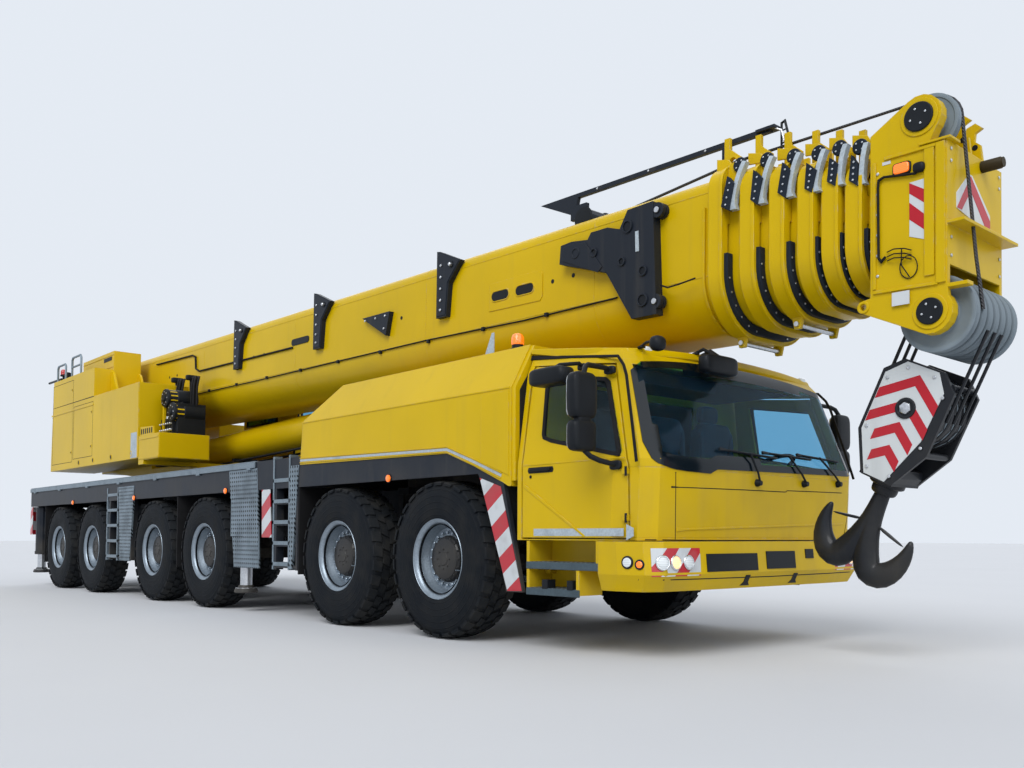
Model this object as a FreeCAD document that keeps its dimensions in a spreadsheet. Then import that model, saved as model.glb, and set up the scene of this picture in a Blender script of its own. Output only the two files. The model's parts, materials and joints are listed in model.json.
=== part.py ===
import FreeCAD, Part
import Sketcher
import math
import os

# Six-axle mobile crane, travelling state, in millimetres.
# Every piece is drawn in the front axle's frame: X forward from the front axle, Y to the left,
# Z up from the ground. Boom pieces are drawn along the boom, from its foot pin, and tilted after.

# Driving dimensions: name, value, meaning.
SIZES = [
    ("front_axle_x", 4020, "front axle ahead of the part's middle"),
    ("axle_2_back", 1650, "second axle behind the first"),
    ("axle_3_back", 4800, "third axle behind the first"),
    ("axle_4_back", 6450, "fourth axle behind the first"),
    ("axle_5_back", 8940, "fifth axle behind the first"),
    ("axle_6_back", 10590, "sixth axle behind the first"),
    ("tyre_radius", 690, "tyre radius, and hub height"),
    ("tyre_width", 380, "tyre width"),
    ("tyre_plane", 1500, "outer face of the tyres from the middle plane"),
    ("sidewall_radius", 610, "radius where the tread's shoulder meets the sidewall"),
    ("shoulder_width", 50, "width of the tread's rounded shoulder"),
    ("wheel_sides", 20, "flats round a tyre"),
    ("rim_radius", 345, "rim's mouth"),
    ("rim_well_radius", 300, "inside of the rim"),
    ("disc_inset", 150, "wheel disc behind the tyre's outer face"),
    ("disc_thickness", 20, "wheel disc"),
    ("hub_radius", 200, "hub cover"),
    ("hub_reach", 62, "hub cover ahead of the disc"),
    ("spindle_radius", 50, "spindle"),
    ("running_gap", 0.3, "radial gap of shafts, pins and slides"),
    ("kingpin_inset", 310, "kingpin behind the tyre's outer face"),
    ("kingpin_radius", 35, "kingpin"),
    ("kingpin_half", 200, "kingpin's ends above and below the hub"),
    ("knuckle_radius", 60, "knuckle's upright"),
    ("knuckle_half", 130, "half the height of the knuckle's upright"),
    ("brake_radius", 235, "brake drum on the knuckle"),
    ("axle_radius", 95, "axle beam"),
    ("axle_case", 170, "differential case radius"),
    ("strut_offset", 610, "suspension strut from the middle plane"),
    ("strut_radius", 75, "suspension strut"),
    ("frame_half", 420, "half width of the main frame"),
    ("frame_low", 870, "underside of the main frame"),
    ("frame_top", 1400, "top of the main frame"),
    ("frame_rear", 12150, "rear end of the frame behind the front axle"),
    ("frame_nose_low", 520, "underside of the frame under the cab"),
    ("deck_top", 1730, "deck"),
    ("deck_plate", 30, "deck plate"),
    ("deck_low", 1405, "lower edge of the deck's skirts"),
    ("deck_half", 1490, "half width over the skirts"),
    ("deck_rear", 12250, "rear end of the deck"),
    ("deck_front", 2400, "front end of the deck behind the front axle"),
    ("skirt", 40, "skirt thickness"),
    ("slew_back", 7700, "slewing axis behind the front axle"),
    ("slew_radius", 800, "slewing ring"),
    ("box_wall", 20, "outrigger box walls"),
    ("beam_width", 300, "outrigger beam width"),
    ("beam_depth", 400, "outrigger beam depth"),
    ("beam_low", 900, "underside of the outrigger beams"),
    ("beam_play", 0.3, "play of a beam or section in its guide"),
    ("front_box_back", 4035, "rear wall of the front outrigger box"),
    ("rear_box_back", 12130, "rear wall of the rear outrigger box"),
    ("box_half", 1225, "half length of the outrigger boxes"),
    ("jack_offset", 1365, "outrigger jacks from the middle plane"),
    ("jack_radius", 110, "jack cylinder"),
    ("jack_low", 560, "lower end of a jack cylinder"),
    ("jack_top", 1385, "upper end of a jack cylinder"),
    ("jack_rod_radius", 70, "jack rod"),
    ("foot_radius", 125, "jack foot"),
    ("foot_low", 220, "underside of a jack foot"),
    ("hood_rear", 2390, "rear end of the engine hood"),
    ("hood_front", 985, "front end of the engine hood ahead of the front axle"),
    ("hood_top", 2450, "top of the engine hood"),
    ("hood_half", 1500, "half width of the engine hood"),
    ("hood_wall", 40, "hood panel"),
    ("cab_rear", 1040, "rear wall of the cab ahead of the front axle"),
    ("cab_floor", 860, "underside of the cab floor"),
    ("cab_wall", 50, "cab walls, doors and roof"),
    ("cab_half", 1480, "half width of the cab at its doors"),
    ("cab_roof_half", 1330, "half width of the cab's roof"),
    ("cab_belt", 1440, "foot of the windscreen"),
    ("cab_eaves", 2190, "head of the windscreen"),
    ("cab_roof_rear", 2400, "roof above the rear wall"),
    ("cab_roof_front", 2270, "roof above the windscreen"),
    ("cab_front", 2330, "cab's front panel ahead of the front axle"),
    ("cab_brow", 2110, "windscreen's head ahead of the front axle"),
    ("door_rear", 1100, "rear edge of the cab doors"),
    ("door_low", 880, "lower edge of the cab doors"),
    ("door_gap", 12, "gap round the doors"),
    ("bumper_low", 500, "underside of the bumper"),
    ("pivot_back", 11300, "boom foot pin behind the front axle"),
    ("pivot_height", 2950, "boom foot pin above the ground"),
    ("pivot_radius", 110, "boom foot pin"),
    ("boom_tilt", 0.9, "boom's nose-down angle, degrees"),
    ("boom_half", 560, "half width of the base section"),
    ("boom_above", 935, "top of the base section above the foot pin's line"),
    ("boom_below", 235, "underside of the base section below that line"),
    ("boom_wall", 12, "boom plate"),
    ("boom_step", 38, "each section smaller than the one round it, per side"),
    ("boom_start", 1000, "rear end of the base tube ahead of the foot pin"),
    ("boom_corner", 110, "upper corner of every section"),
    ("boom_belly", 400, "lower corner of the base section"),
    ("collar_1", 13620, "front collar of the base section, ahead of the foot pin"),
    ("collar_2", 13880, "front collar of the first telescope"),
    ("collar_3", 14110, "front collar of the second telescope"),
    ("collar_4", 14320, "front collar of the third telescope"),
    ("collar_5", 14490, "front collar of the fourth telescope"),
    ("collar_6", 14650, "front collar of the fifth telescope"),
    ("collar_length", 130, "length of a collar"),
    ("collar_wall", 60, "collar plate outside its section"),
    ("ear_rise", 340, "tops of a collar's ears above its own section"),
    ("corner_bends", 2, "flats round an upper corner of a section"),
    ("belly_bends", 4, "flats round a lower corner of a section"),
    ("head_start", 14775, "rear plate of the boom head"),
    ("head_front", 15300, "front plate of the boom head"),
    ("head_half", 430, "half width of the boom head"),
    ("head_top_axis_x", 15117, "upper sheave axis ahead of the foot pin"),
    ("head_top_axis_z", 947, "upper sheave axis above the foot pin's line"),
    ("head_low_axis_x", 15188, "lower sheave axis ahead of the foot pin"),
    ("head_low_axis_z", -355, "lower sheave axis below the foot pin's line"),
    ("sheave_radius", 250, "lower rope sheaves"),
    ("top_sheave_radius", 195, "upper rope sheave"),
    ("lobe_radius", 148, "round ends of the head's side plates"),
    ("head_plate", 80, "thickness of the head's side plates with their lobes"),
    ("jib_pin_radius", 22, "pin holes for the jib beside the head"),
    ("rope_radius", 12, "hoist rope"),
    ("hook_lean", 26, "lean of the hook block on the road, degrees"),
    ("cylinder_back", 8300, "foot of the lift cylinder behind the front axle"),
    ("cylinder_height", 2190, "foot of the lift cylinder above the ground"),
    ("cylinder_radius", 210, "lift cylinder barrel"),
    ("cylinder_rod_radius", 140, "lift cylinder rod"),
    ("lug_ahead", 8000, "lift lug ahead of the foot pin"),
    ("lug_below", 460, "lift lug's pin below the foot pin's line"),
    ("side_plate_in", 600, "inner face of the turntable's side plates"),
    ("side_plate", 60, "turntable's side plates"),
    ("platform_low", 1850, "underside of the turntable platform"),
    ("platform_top", 1960, "top of the turntable platform"),
    ("house_out", 1450, "outer face of the machinery house"),
    ("house_in", 720, "inner face of the machinery house"),
    ("house_low", 2000, "underside of the machinery house"),
]

doc = FreeCAD.newDocument("MobileCrane")
sheet = doc.addObject("Spreadsheet::Sheet", "Sizes")
for row, (alias, value, meaning) in enumerate(SIZES, 1):
    sheet.set("A%d" % row, meaning)
    sheet.set("B%d" % row, str(value))
    sheet.setAlias("B%d" % row, alias)
doc.recompute()


class Size:
    """A length that keeps both its value and the sheet expression it comes from."""

    def __init__(self, value, text):
        self.value = float(value)
        self.text = text

    def __add__(self, other):
        other = size(other)
        return Size(self.value + other.value, "(%s + %s)" % (self.text, other.text))

    def __sub__(self, other):
        other = size(other)
        return Size(self.value - other.value, "(%s - %s)" % (self.text, other.text))

    def __mul__(self, other):
        other = size(other)
        return Size(self.value * other.value, "(%s * %s)" % (self.text, other.text))

    def __truediv__(self, other):
        other = size(other)
        return Size(self.value / other.value, "(%s / %s)" % (self.text, other.text))

    def __radd__(self, other):
        return size(other) + self

    def __rsub__(self, other):
        return size(other) - self

    def __rmul__(self, other):
        return size(other) * self

    def __rtruediv__(self, other):
        return size(other) / self

    def __neg__(self):
        return size(-1) * self


def size(number):
    """A plain number as a Size."""
    if isinstance(number, Size):
        return number
    return Size(number, repr(float(number)))


def cell(alias):
    """The Size that a cell of the sheet drives."""
    return Size(sheet.get(alias), "Sizes." + alias)


S = {alias: cell(alias) for alias, value, meaning in SIZES}


def bind(obj, prop, length):
    """Set a length by value and bind it to the sheet."""
    obj.setExpression(prop, size(length).text)


def place(obj, x, y, z, rotation=None):
    """Put an object at a point that the sheet drives."""
    base = FreeCAD.Vector(size(x).value, size(y).value, size(z).value)
    obj.Placement = FreeCAD.Placement(base, rotation or FreeCAD.Rotation())
    bind(obj, "Placement.Base.x", x)
    bind(obj, "Placement.Base.y", y)
    bind(obj, "Placement.Base.z", z)
    return obj


def cosine(angle):
    return Size(math.cos(math.radians(angle.value)), "cos(%s * 1 deg)" % angle.text)


def sine(angle):
    return Size(math.sin(math.radians(angle.value)), "sin(%s * 1 deg)" % angle.text)


TURN = {
    "X": FreeCAD.Rotation(FreeCAD.Vector(0, 1, 0), 90),
    "Y": FreeCAD.Rotation(FreeCAD.Vector(1, 0, 0), -90),
    "Z": FreeCAD.Rotation(),
}
PLANE = {
    "XY": FreeCAD.Rotation(),
    "XZ": FreeCAD.Rotation(FreeCAD.Vector(1, 0, 0), 90),
    "YZ": FreeCAD.Rotation(FreeCAD.Vector(1, 1, 1), 120),
}


def block(x0, x1, y0, y1, z0, z1):
    """A box between two corners."""
    obj = doc.addObject("Part::Box", "Block")
    bind(obj, "Length", size(x1) - x0)
    bind(obj, "Width", size(y1) - y0)
    bind(obj, "Height", size(z1) - z0)
    return place(obj, x0, y0, z0)


def round_bar(axis, x, y, z, radius, length):
    """A cylinder that starts at a point and runs along an axis."""
    obj = doc.addObject("Part::Cylinder", "RoundBar")
    bind(obj, "Radius", radius)
    bind(obj, "Height", length)
    return place(obj, x, y, z, TURN[axis])


AXIS = {"X": FreeCAD.Vector(1, 0, 0), "Y": FreeCAD.Vector(0, 1, 0), "Z": FreeCAD.Vector(0, 0, 1)}


def flat_bar(axis, x, y, z, radius, length, sides=12, on_flats=False, spin=None):
    """A many-sided bar with its corners, or its flats, on the radius; a flat lies below."""
    half_flat = 180 / size(sides)
    ring = doc.addObject("Part::RegularPolygon", "Ring")
    ring.Polygon = int(size(sides).value)
    bind(ring, "Circumradius", radius / cosine(half_flat) if on_flats else size(radius))
    angle = half_flat.value if spin is None else spin
    place(ring, x, y, z, TURN[axis].multiply(FreeCAD.Rotation(FreeCAD.Vector(0, 0, 1), angle)))
    obj = doc.addObject("Part::Extrusion", "FlatBar")
    obj.Base = ring
    obj.DirMode = "Custom"
    obj.Dir = AXIS[axis]
    obj.Solid = True
    bind(obj, "LengthFwd", length)
    return obj


def outline(plane, points, x=0, y=0, z=0):
    """A closed sketch whose corners are driven by the sheet."""
    sketch = doc.addObject("Sketcher::SketchObject", "Outline")
    place(sketch, x, y, z, PLANE[plane])
    corners = [(size(u), size(v)) for u, v in points]
    vectors = [FreeCAD.Vector(u.value, v.value, 0) for u, v in corners]
    count = len(corners)
    for i in range(count):
        sketch.addGeometry(Part.LineSegment(vectors[i], vectors[(i + 1) % count]), False)
    for i in range(count):
        sketch.addConstraint(Sketcher.Constraint("Coincident", i, 2, (i + 1) % count, 1))
    for i, (u, v) in enumerate(corners):
        for kind, length in (("DistanceX", u), ("DistanceY", v)):
            at = sketch.addConstraint(Sketcher.Constraint(kind, -1, 1, i, 1, length.value))
            if "Sizes." in length.text:
                sketch.setExpression("Constraints[%d]" % at, length.text)
    return sketch


def prism(plane, points, start, end):
    """An outline carried from one parallel plane to another."""
    far = {"XY": ("z", start), "XZ": ("y", end), "YZ": ("x", start)}[plane]
    sketch = outline(plane, points, **{far[0]: far[1]})
    obj = doc.addObject("Part::Extrusion", "Prism")
    obj.Base = sketch
    obj.DirMode = "Normal"
    obj.Solid = True
    bind(obj, "LengthFwd", size(end) - start)
    return obj


def fuse(*pieces):
    obj = doc.addObject("Part::MultiFuse", "Fused")
    obj.Shapes = list(pieces)
    obj.Refine = True
    return obj


def cut(base, *tools):
    obj = doc.addObject("Part::Cut", "Cut")
    obj.Base = base
    obj.Tool = tools[0] if len(tools) == 1 else fuse(*tools)
    obj.Refine = True
    return obj


def apart(*pieces):
    """Pieces of one sub-part that don't touch each other."""
    obj = doc.addObject("Part::Compound", "Apart")
    obj.Links = list(pieces)
    return obj


def mirrored(piece):
    """The same piece on the other side of the crane."""
    obj = doc.addObject("Part::Mirroring", "Mirrored")
    obj.Source = piece
    obj.Normal = FreeCAD.Vector(0, 1, 0)
    return obj


NODES = []


def node(name, piece, on_boom=False, x=0):
    """Name a finished sub-part and put it in the part's own frame."""
    piece.Label = name
    if on_boom:
        tilt = FreeCAD.Rotation(FreeCAD.Vector(0, 1, 0), S["boom_tilt"].value)
        place(piece, S["front_axle_x"] - S["pivot_back"], 0, S["pivot_height"], tilt)
        bind(piece, "Placement.Rotation.Angle", S["boom_tilt"])
    else:
        place(piece, S["front_axle_x"] + x, 0, 0)
    NODES.append(piece)
    return piece


def spread(side, near, far):
    """The two Y values of a span on one side of the crane, lowest first."""
    return (size(near), size(far)) if side > 0 else (-size(far), -size(near))


def common(*pieces):
    """What all the pieces share."""
    shared = pieces[0]
    for piece in pieces[1:]:
        obj = doc.addObject("Part::Common", "Common")
        obj.Base = shared
        obj.Tool = piece
        obj.Refine = True
        shared = obj
    return shared


def shifted(piece, x):
    """The same piece further along the crane."""
    return place(apart(piece), x, 0, 0)


# Running gear
# axle number, distance behind the front axle, whether its wheels steer
AXLES = [
    (1, size(0), True),
    (2, S["axle_2_back"], True),
    (3, S["axle_3_back"], True),
    (4, S["axle_4_back"], False),
    (5, S["axle_5_back"], True),
    (6, S["axle_6_back"], True),
]
SIDES = [("right", -1), ("left", 1)]

hub_z = S["tyre_radius"]
tyre_in = S["tyre_plane"] - S["tyre_width"]
disc_out = S["tyre_plane"] - S["disc_inset"]
disc_in = disc_out - S["disc_thickness"]
spindle_end = disc_out + S["hub_reach"] - 30
kingpin_y = S["tyre_plane"] - S["kingpin_inset"]


def tyre_form(outer):
    """The tyre's outside: its cross-section turned in flats, one of them on the ground."""
    shoulder = S["shoulder_width"]
    inner = outer + S["tyre_width"]
    profile = []
    for end in (-1, 1):
        low, high = S["sidewall_radius"] * end, S["tyre_radius"] * end
        corners = [(outer, low), (outer + shoulder, high), (inner - shoulder, high), (inner, low)]
        profile += corners if end < 0 else corners[::-1]
    slab = prism("YZ", profile, -S["tyre_radius"] * 1.1, S["tyre_radius"] * 1.1)
    flats = []
    for i in range(int(S["wheel_sides"].value / 2)):
        step = FreeCAD.Rotation(FreeCAD.Vector(0, 1, 0), i * 360 / S["wheel_sides"].value)
        flat = apart(slab)
        flat.Placement = FreeCAD.Placement(FreeCAD.Vector(), step)
        flats.append(flat)
    return place(apart(common(*flats)), 0, 0, hub_z)


def wheel():
    """Tyre, rim, disc and hub of a right wheel, which turn together."""
    outer = -S["tyre_plane"]
    sides = S["wheel_sides"]
    dish = flat_bar("Y", 0, outer, hub_z, S["rim_radius"], S["disc_inset"], sides, on_flats=True)
    well = flat_bar("Y", 0, -disc_in, hub_z, S["rim_well_radius"], disc_in - tyre_in, 12, on_flats=True)
    hub = flat_bar("Y", 0, -disc_out - S["hub_reach"], hub_z, S["hub_radius"], S["hub_reach"] + 5)
    fit = S["spindle_radius"] + S["running_gap"]
    bore = flat_bar("Y", 0, -spindle_end - 5, hub_z, fit, spindle_end + 5 - disc_in, 8, on_flats=True)
    relief = common(round_bar("Y", 0, -spindle_end - 5, hub_z, fit + 8, spindle_end + 5 - disc_in),
                    block(-18, 18, -spindle_end - 6, -disc_in + 1, hub_z, hub_z + 80))
    return cut(fuse(cut(tyre_form(outer), dish, well), hub), bore, relief)


def hub_end():
    """Brake drum and spindle that carry a right wheel."""
    drum = flat_bar("Y", 0, -disc_in + 8, hub_z, S["brake_radius"], disc_in - kingpin_y - 83, 10)
    spindle = flat_bar("Y", 0, -spindle_end, hub_z, S["spindle_radius"], spindle_end - kingpin_y, 6)
    return drum, spindle


def knuckle():
    """Right steering knuckle on its kingpin."""
    pin = flat_bar("Z", 0, -kingpin_y, hub_z - S["kingpin_half"], S["kingpin_radius"],
                   S["kingpin_half"] * 2, 8)
    thick = S["knuckle_radius"] * 0.75
    upright = block(-thick, thick, -kingpin_y - thick, -kingpin_y + thick,
                    hub_z - S["knuckle_half"], hub_z + S["knuckle_half"])
    return fuse(pin, upright, *hub_end())


yoke_gap = 10
yoke_back = S["knuckle_radius"] + 18
yoke_plate = 80


def yoke():
    """Fork at the right end of a steered axle, bored for the kingpin."""
    near = kingpin_y - yoke_back - yoke_plate
    half = S["knuckle_radius"]
    tip = half - 7
    low_tip = half + 8
    side = [(-near, hub_z + S["kingpin_half"]), (-kingpin_y - tip, hub_z + S["kingpin_half"]),
            (-kingpin_y - tip, hub_z + S["knuckle_half"] + yoke_gap),
            (-kingpin_y + yoke_back, hub_z + S["knuckle_half"] + yoke_gap),
            (-kingpin_y + yoke_back, hub_z - S["knuckle_half"] - yoke_gap),
            (-kingpin_y - low_tip, hub_z - S["knuckle_half"] - yoke_gap),
            (-kingpin_y - low_tip, hub_z - S["kingpin_half"]), (-near, hub_z - S["kingpin_half"])]
    bore = flat_bar("Z", 0, -kingpin_y, hub_z - S["kingpin_half"],
                    S["kingpin_radius"] + S["running_gap"], S["kingpin_half"] * 2, 8,
                    on_flats=True, spin=0)
    # the arms' tips are turned about the kingpin
    turned = fuse(round_bar("Z", 0, -kingpin_y, hub_z - S["kingpin_half"], half + 8, 100),
                  block(-half, half, -kingpin_y, -near, hub_z - S["kingpin_half"], hub_z),
                  block(15 - half, half - 15, -kingpin_y - 90, -near, hub_z,
                        hub_z + S["kingpin_half"]))
    return cut(common(prism("YZ", side, -half, half), turned), bore)


def axle(steered):
    """Axle beam with differential, suspension struts and yokes or hub ends."""
    reach = kingpin_y - yoke_back - 20 if steered else kingpin_y + 80
    ends = [yoke()] if steered else list(hub_end())
    ends.append(flat_bar("Z", 0, -S["strut_offset"], hub_z, S["strut_radius"],
                         bracket_low - hub_z, 6))
    one_end = fuse(*ends)
    return fuse(flat_bar("Y", 0, -reach, hub_z, S["axle_radius"], reach * 2, 8),
                flat_bar("X", -210, 0, hub_z, S["axle_case"], 420, 8), one_end, mirrored(one_end))


bracket_low = S["frame_top"] - 70
KINDS = {steered: axle(steered) for steered in (True, False)}
node("axles", apart(*[shifted(KINDS[steered], -back) for number, back, steered in AXLES]))
right_wheel, right_knuckle = wheel(), knuckle()
WHEELS = {"right": right_wheel, "left": mirrored(right_wheel)}
KNUCKLES = {"right": right_knuckle, "left": mirrored(right_knuckle)}
for number, back, steered in AXLES:
    for label, side in SIDES:
        node("wheel_%d_%s" % (number, label), apart(WHEELS[label]), x=-back)
        if steered:
            node("knuckle_%d_%s" % (number, label), apart(KNUCKLES[label]), x=-back)

# Outriggers
# name, rear wall of the box behind the front axle
BOXES = [("front", S["front_box_back"]), ("rear", S["rear_box_back"])]
tunnel_width = S["beam_width"] + 2 * S["beam_play"]
box_length = 2 * tunnel_width + 3 * S["box_wall"]
tunnel_low = S["beam_low"] - S["beam_play"]
tunnel_top = S["beam_low"] + S["beam_depth"] + S["beam_play"]


def tunnel_x(back, place_in_box):
    """Rear wall of a beam's tunnel: 0 is the rear one, 1 the front one."""
    return -back + S["box_wall"] + place_in_box * (tunnel_width + S["box_wall"])


def outrigger(back, place_in_box, side):
    """A beam with its jack cylinder, and the jack's rod with its foot."""
    x0 = tunnel_x(back, place_in_box) + S["beam_play"]
    middle = x0 + S["beam_width"] / 2
    low, high = spread(side, -S["box_half"] + 30, S["jack_offset"])
    beam = block(x0, x0 + S["beam_width"], low, high, S["beam_low"],
                 S["beam_low"] + S["beam_depth"])
    y = side * S["jack_offset"]
    jack = flat_bar("Z", middle, y, S["jack_low"], S["jack_radius"],
                    S["jack_top"] - S["jack_low"])
    bore = flat_bar("Z", middle, y, S["jack_low"], S["jack_rod_radius"] + S["running_gap"],
                    S["jack_top"] - S["jack_low"] - 25)
    foot = flat_bar("Z", middle, y, S["foot_low"], S["foot_radius"], 60)
    rod = flat_bar("Z", middle, y, S["foot_low"], S["jack_rod_radius"],
                   S["jack_top"] - S["foot_low"] - 60)
    return cut(fuse(beam, jack), bore), fuse(foot, rod)


for end, back in BOXES:
    for place_in_box, (label, side) in enumerate(SIDES):
        beam, jack = outrigger(back, place_in_box, side)
        node("outrigger_beam_%s_%s" % (end, label), beam)
        node("outrigger_jack_%s_%s" % (end, label), jack)

# Chassis
frame_parts = [
    block(-S["frame_rear"], 900, -S["frame_half"], S["frame_half"], S["frame_low"],
          S["frame_top"]),
    block(300, 900, -S["frame_half"], S["frame_half"], S["frame_nose_low"], S["frame_low"]),
    block(300, 2150, -S["frame_half"], S["frame_half"], S["frame_nose_low"],
          S["cab_floor"]),
    flat_bar("Z", -S["slew_back"], 0, S["frame_top"], S["slew_radius"],
             S["platform_low"] - S["running_gap"] - S["frame_top"], 24),
]
for number, back, steered in AXLES:
    reach = S["strut_offset"] + S["strut_radius"] + 5
    frame_parts.append(block(-back - 100, 100 - back, -reach, reach, bracket_low,
                             S["frame_top"]))
tunnels = []
for end, back in BOXES:
    frame_parts.append(block(-back, box_length - back, -S["box_half"], S["box_half"],
                             tunnel_low - S["box_wall"], tunnel_top + S["box_wall"]))
    for place_in_box in (0, 1):
        x0 = tunnel_x(back, place_in_box)
        tunnels.append(block(x0, x0 + tunnel_width, -S["box_half"], S["box_half"],
                             tunnel_low, tunnel_top))
# towing jaw at the rear
for z0 in (980, 1060):
    frame_parts.append(block(-S["frame_rear"] - 100, -S["frame_rear"], -70, 70, z0, z0 + 30))
jaw_hole = flat_bar("Z", -S["frame_rear"] - 60, 0, 960, 25, 150, 8)
node("chassis_frame", cut(fuse(*frame_parts), jaw_hole, *tunnels))

# Deck, skirts, ladders and front mudguards
hood_edge = [(-S["hood_rear"], size(1640)), (size(150), size(1600)), (size(520), size(1470)),
             (size(880), size(1324))]
deck_parts = [
    cut(block(-S["deck_rear"], -S["deck_front"], -S["deck_half"], S["deck_half"],
              S["deck_top"] - S["deck_plate"], S["deck_top"]),
        flat_bar("Z", -S["slew_back"], 0, S["deck_low"], S["slew_radius"] + 8, 400, 24, on_flats=True)),
]
BULKHEADS = [12200, 9765, 5625, 3300, 2440]
for back in BULKHEADS:
    deck_parts.append(block(-back, 30 - back, -S["deck_half"], S["deck_half"],
                            S["deck_low"], S["deck_top"] - S["deck_plate"]))
    deck_parts.append(block(-back, 30 - back, -S["frame_half"], S["frame_half"],
                            S["frame_top"], S["deck_low"]))
for label, side in SIDES:
    low, high = spread(side, S["deck_half"] - S["skirt"], S["deck_half"])
    deck_parts.append(block(-S["deck_rear"], -S["deck_front"], low, high, S["deck_low"],
                            S["deck_top"]))
    guard = [(-S["deck_front"], S["deck_low"]), (-S["deck_front"], size(1640))] + hood_edge + [
        (size(1110), size(450)), (size(920), size(450)), (size(690), size(1200)),
        (size(560), S["deck_low"])]
    deck_parts.append(prism("XZ", guard, low, high))
    low, high = spread(side, S["frame_half"], S["deck_half"])
    deck_parts.append(block(850, 880, low, high, S["frame_low"], 1300))
    for rear, front, lowest in ((8150, 7250, 530), (2950, 2440, 520)):
        low, high = spread(side, S["deck_half"] - 90, S["deck_half"])
        for x0 in (-size(rear), -size(front) - 40):
            deck_parts.append(block(x0, x0 + 40, low, high, lowest, S["deck_low"] + 10))
        for step in range(4):
            z0 = lowest + 20 + step * 230
            deck_parts.append(block(-rear, -front, low, high, z0, z0 + 30))
node("deck", fuse(*deck_parts))

# Engine under its hood
node("engine", apart(block(-1900, -300, -450, 450, S["frame_top"], 2250)))


def hood_shape(offset, half, foot):
    """The hood's outside, or its inside when offset by the panel."""
    top = S["hood_top"] - offset
    rear = S["hood_rear"] - offset
    if foot is None:
        lower = [(S["hood_front"], size(1290)), (size(950), size(1290))] + hood_edge[::-1]
    else:
        lower = [(S["hood_front"] - offset, foot), (-rear, foot), (-rear, size(1640))]
    points = [(50 - rear, size(2110)), (510 - rear, top), (S["hood_front"] - offset, top)]
    body = prism("XZ", points + lower, -half, half)
    corner = [(half, S["hood_top"] - 370), (half + 10, top + 10), (half - 210, top + 10)]
    wedge = prism("YZ", corner, -S["hood_rear"] - 10, S["hood_front"] + 10)
    return cut(body, wedge, mirrored(wedge))


node("engine_hood", cut(hood_shape(size(0), S["hood_half"], None),
                        hood_shape(S["hood_wall"], S["hood_half"] - S["hood_wall"], size(1200))))

# Cab
# height, half width, front face ahead of the front axle
CAB_LEVELS = [
    (S["cab_floor"], S["cab_half"], S["cab_front"]),
    (S["cab_belt"], S["cab_half"], S["cab_front"] + 30),
    (S["cab_eaves"], S["cab_roof_half"] + 40, S["cab_brow"]),
    (S["cab_roof_front"], S["cab_roof_half"], S["cab_brow"] - 60),
    (S["cab_roof_rear"] + 60, S["cab_roof_half"] - 60, S["cab_brow"] - 160),
]


def plan_outline(z, half, front, rear):
    """Plan of the cab at one height, with rounded front corners."""
    side = [(rear, half), (front - 300, half), (front - 90, half - 50), (front - 20, half - 190),
            (front, half - 600)]
    points = [(size(x), -size(y)) for x, y in side] + [
        (size(x), size(y)) for x, y in reversed(side)]
    return outline("XY", points, z=z)


def cab_solid(offset):
    """The cab's outer form, brought in by an offset."""
    plans = []
    last = len(CAB_LEVELS) - 1
    for i, (z, half, front) in enumerate(CAB_LEVELS):
        height = z + offset if i == 0 else z
        plans.append(plan_outline(height, half - offset, front - offset,
                                  S["cab_rear"] + offset))
    loft = doc.addObject("Part::Loft", "CabForm")
    loft.Sections = plans
    loft.Solid = True
    loft.Ruled = True
    top = S["cab_roof_rear"] + 200
    roof = [(S["cab_rear"] - 10, S["cab_roof_rear"] - offset),
            (S["cab_brow"] - 60, S["cab_roof_front"] - offset),
            (S["cab_brow"] + 270, S["cab_roof_front"] - 60 - offset),
            (S["cab_brow"] + 270, top), (S["cab_rear"] - 10, top)]
    return cut(loft, prism("XZ", roof, -S["cab_half"], S["cab_half"]))


# front edge of the doors, below the windscreen's foot and at its head
door_front = S["cab_front"] - 155
door_brow = S["cab_brow"] - 155


def door_prism(gap, near, far, side, top_set=0):
    """A side door's outline, grown by a gap, its rear edge set forward at the top."""
    low, high = spread(side, near, far)
    points = [
        (S["door_rear"] - gap, S["door_low"] - gap), (door_front + gap, S["door_low"] - gap),
        (door_front + gap, S["cab_belt"] - 40), (door_brow + gap, S["cab_eaves"] - 40 + gap),
        (S["door_rear"] - gap + top_set, S["cab_eaves"] + 50 + gap),
        (S["door_rear"] - gap, S["cab_belt"])]
    return prism("XZ", points, low, high)


def window_prism(side):
    """A side door's window."""
    low, high = spread(side, 1000, S["cab_half"] + 20)
    points = [(S["door_rear"] + 210, S["cab_belt"] + 210), (door_front - 60, S["cab_belt"] + 20),
              (door_brow - 30, S["cab_eaves"] - 150), (S["door_rear"] + 170, S["cab_eaves"] - 45)]
    return prism("XZ", points, low, high)


cab_outer = cab_solid(size(0))
cab_inner = cab_solid(S["cab_wall"])
screen_low = S["cab_belt"] + 30
screen_top = S["cab_eaves"] - 40
ahead = S["cab_front"] + S["cab_brow"] / 4
screen_hole = block(S["cab_brow"] - 410, ahead, -S["cab_roof_half"] + 60,
                    S["cab_roof_half"] - 60, screen_low, screen_top)
rear_hole = block(S["cab_rear"] - 5, S["cab_rear"] + S["cab_wall"] + 5, -700, 700, 1600, 2100)
panel_room = block(S["cab_front"] - 140, ahead, -S["cab_half"], S["cab_half"],
                   S["cab_floor"] + 20, S["cab_belt"] - 60)
sill_in = 1415


def above_sill(room, near, side):
    """A door's room without the floor strip inboard of its sill."""
    low, high = spread(side, 1150, near)
    return cut(room, block(S["cab_rear"] - 40, ahead, low, high, S["door_low"] - 80,
                           S["door_low"] + 80))


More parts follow.
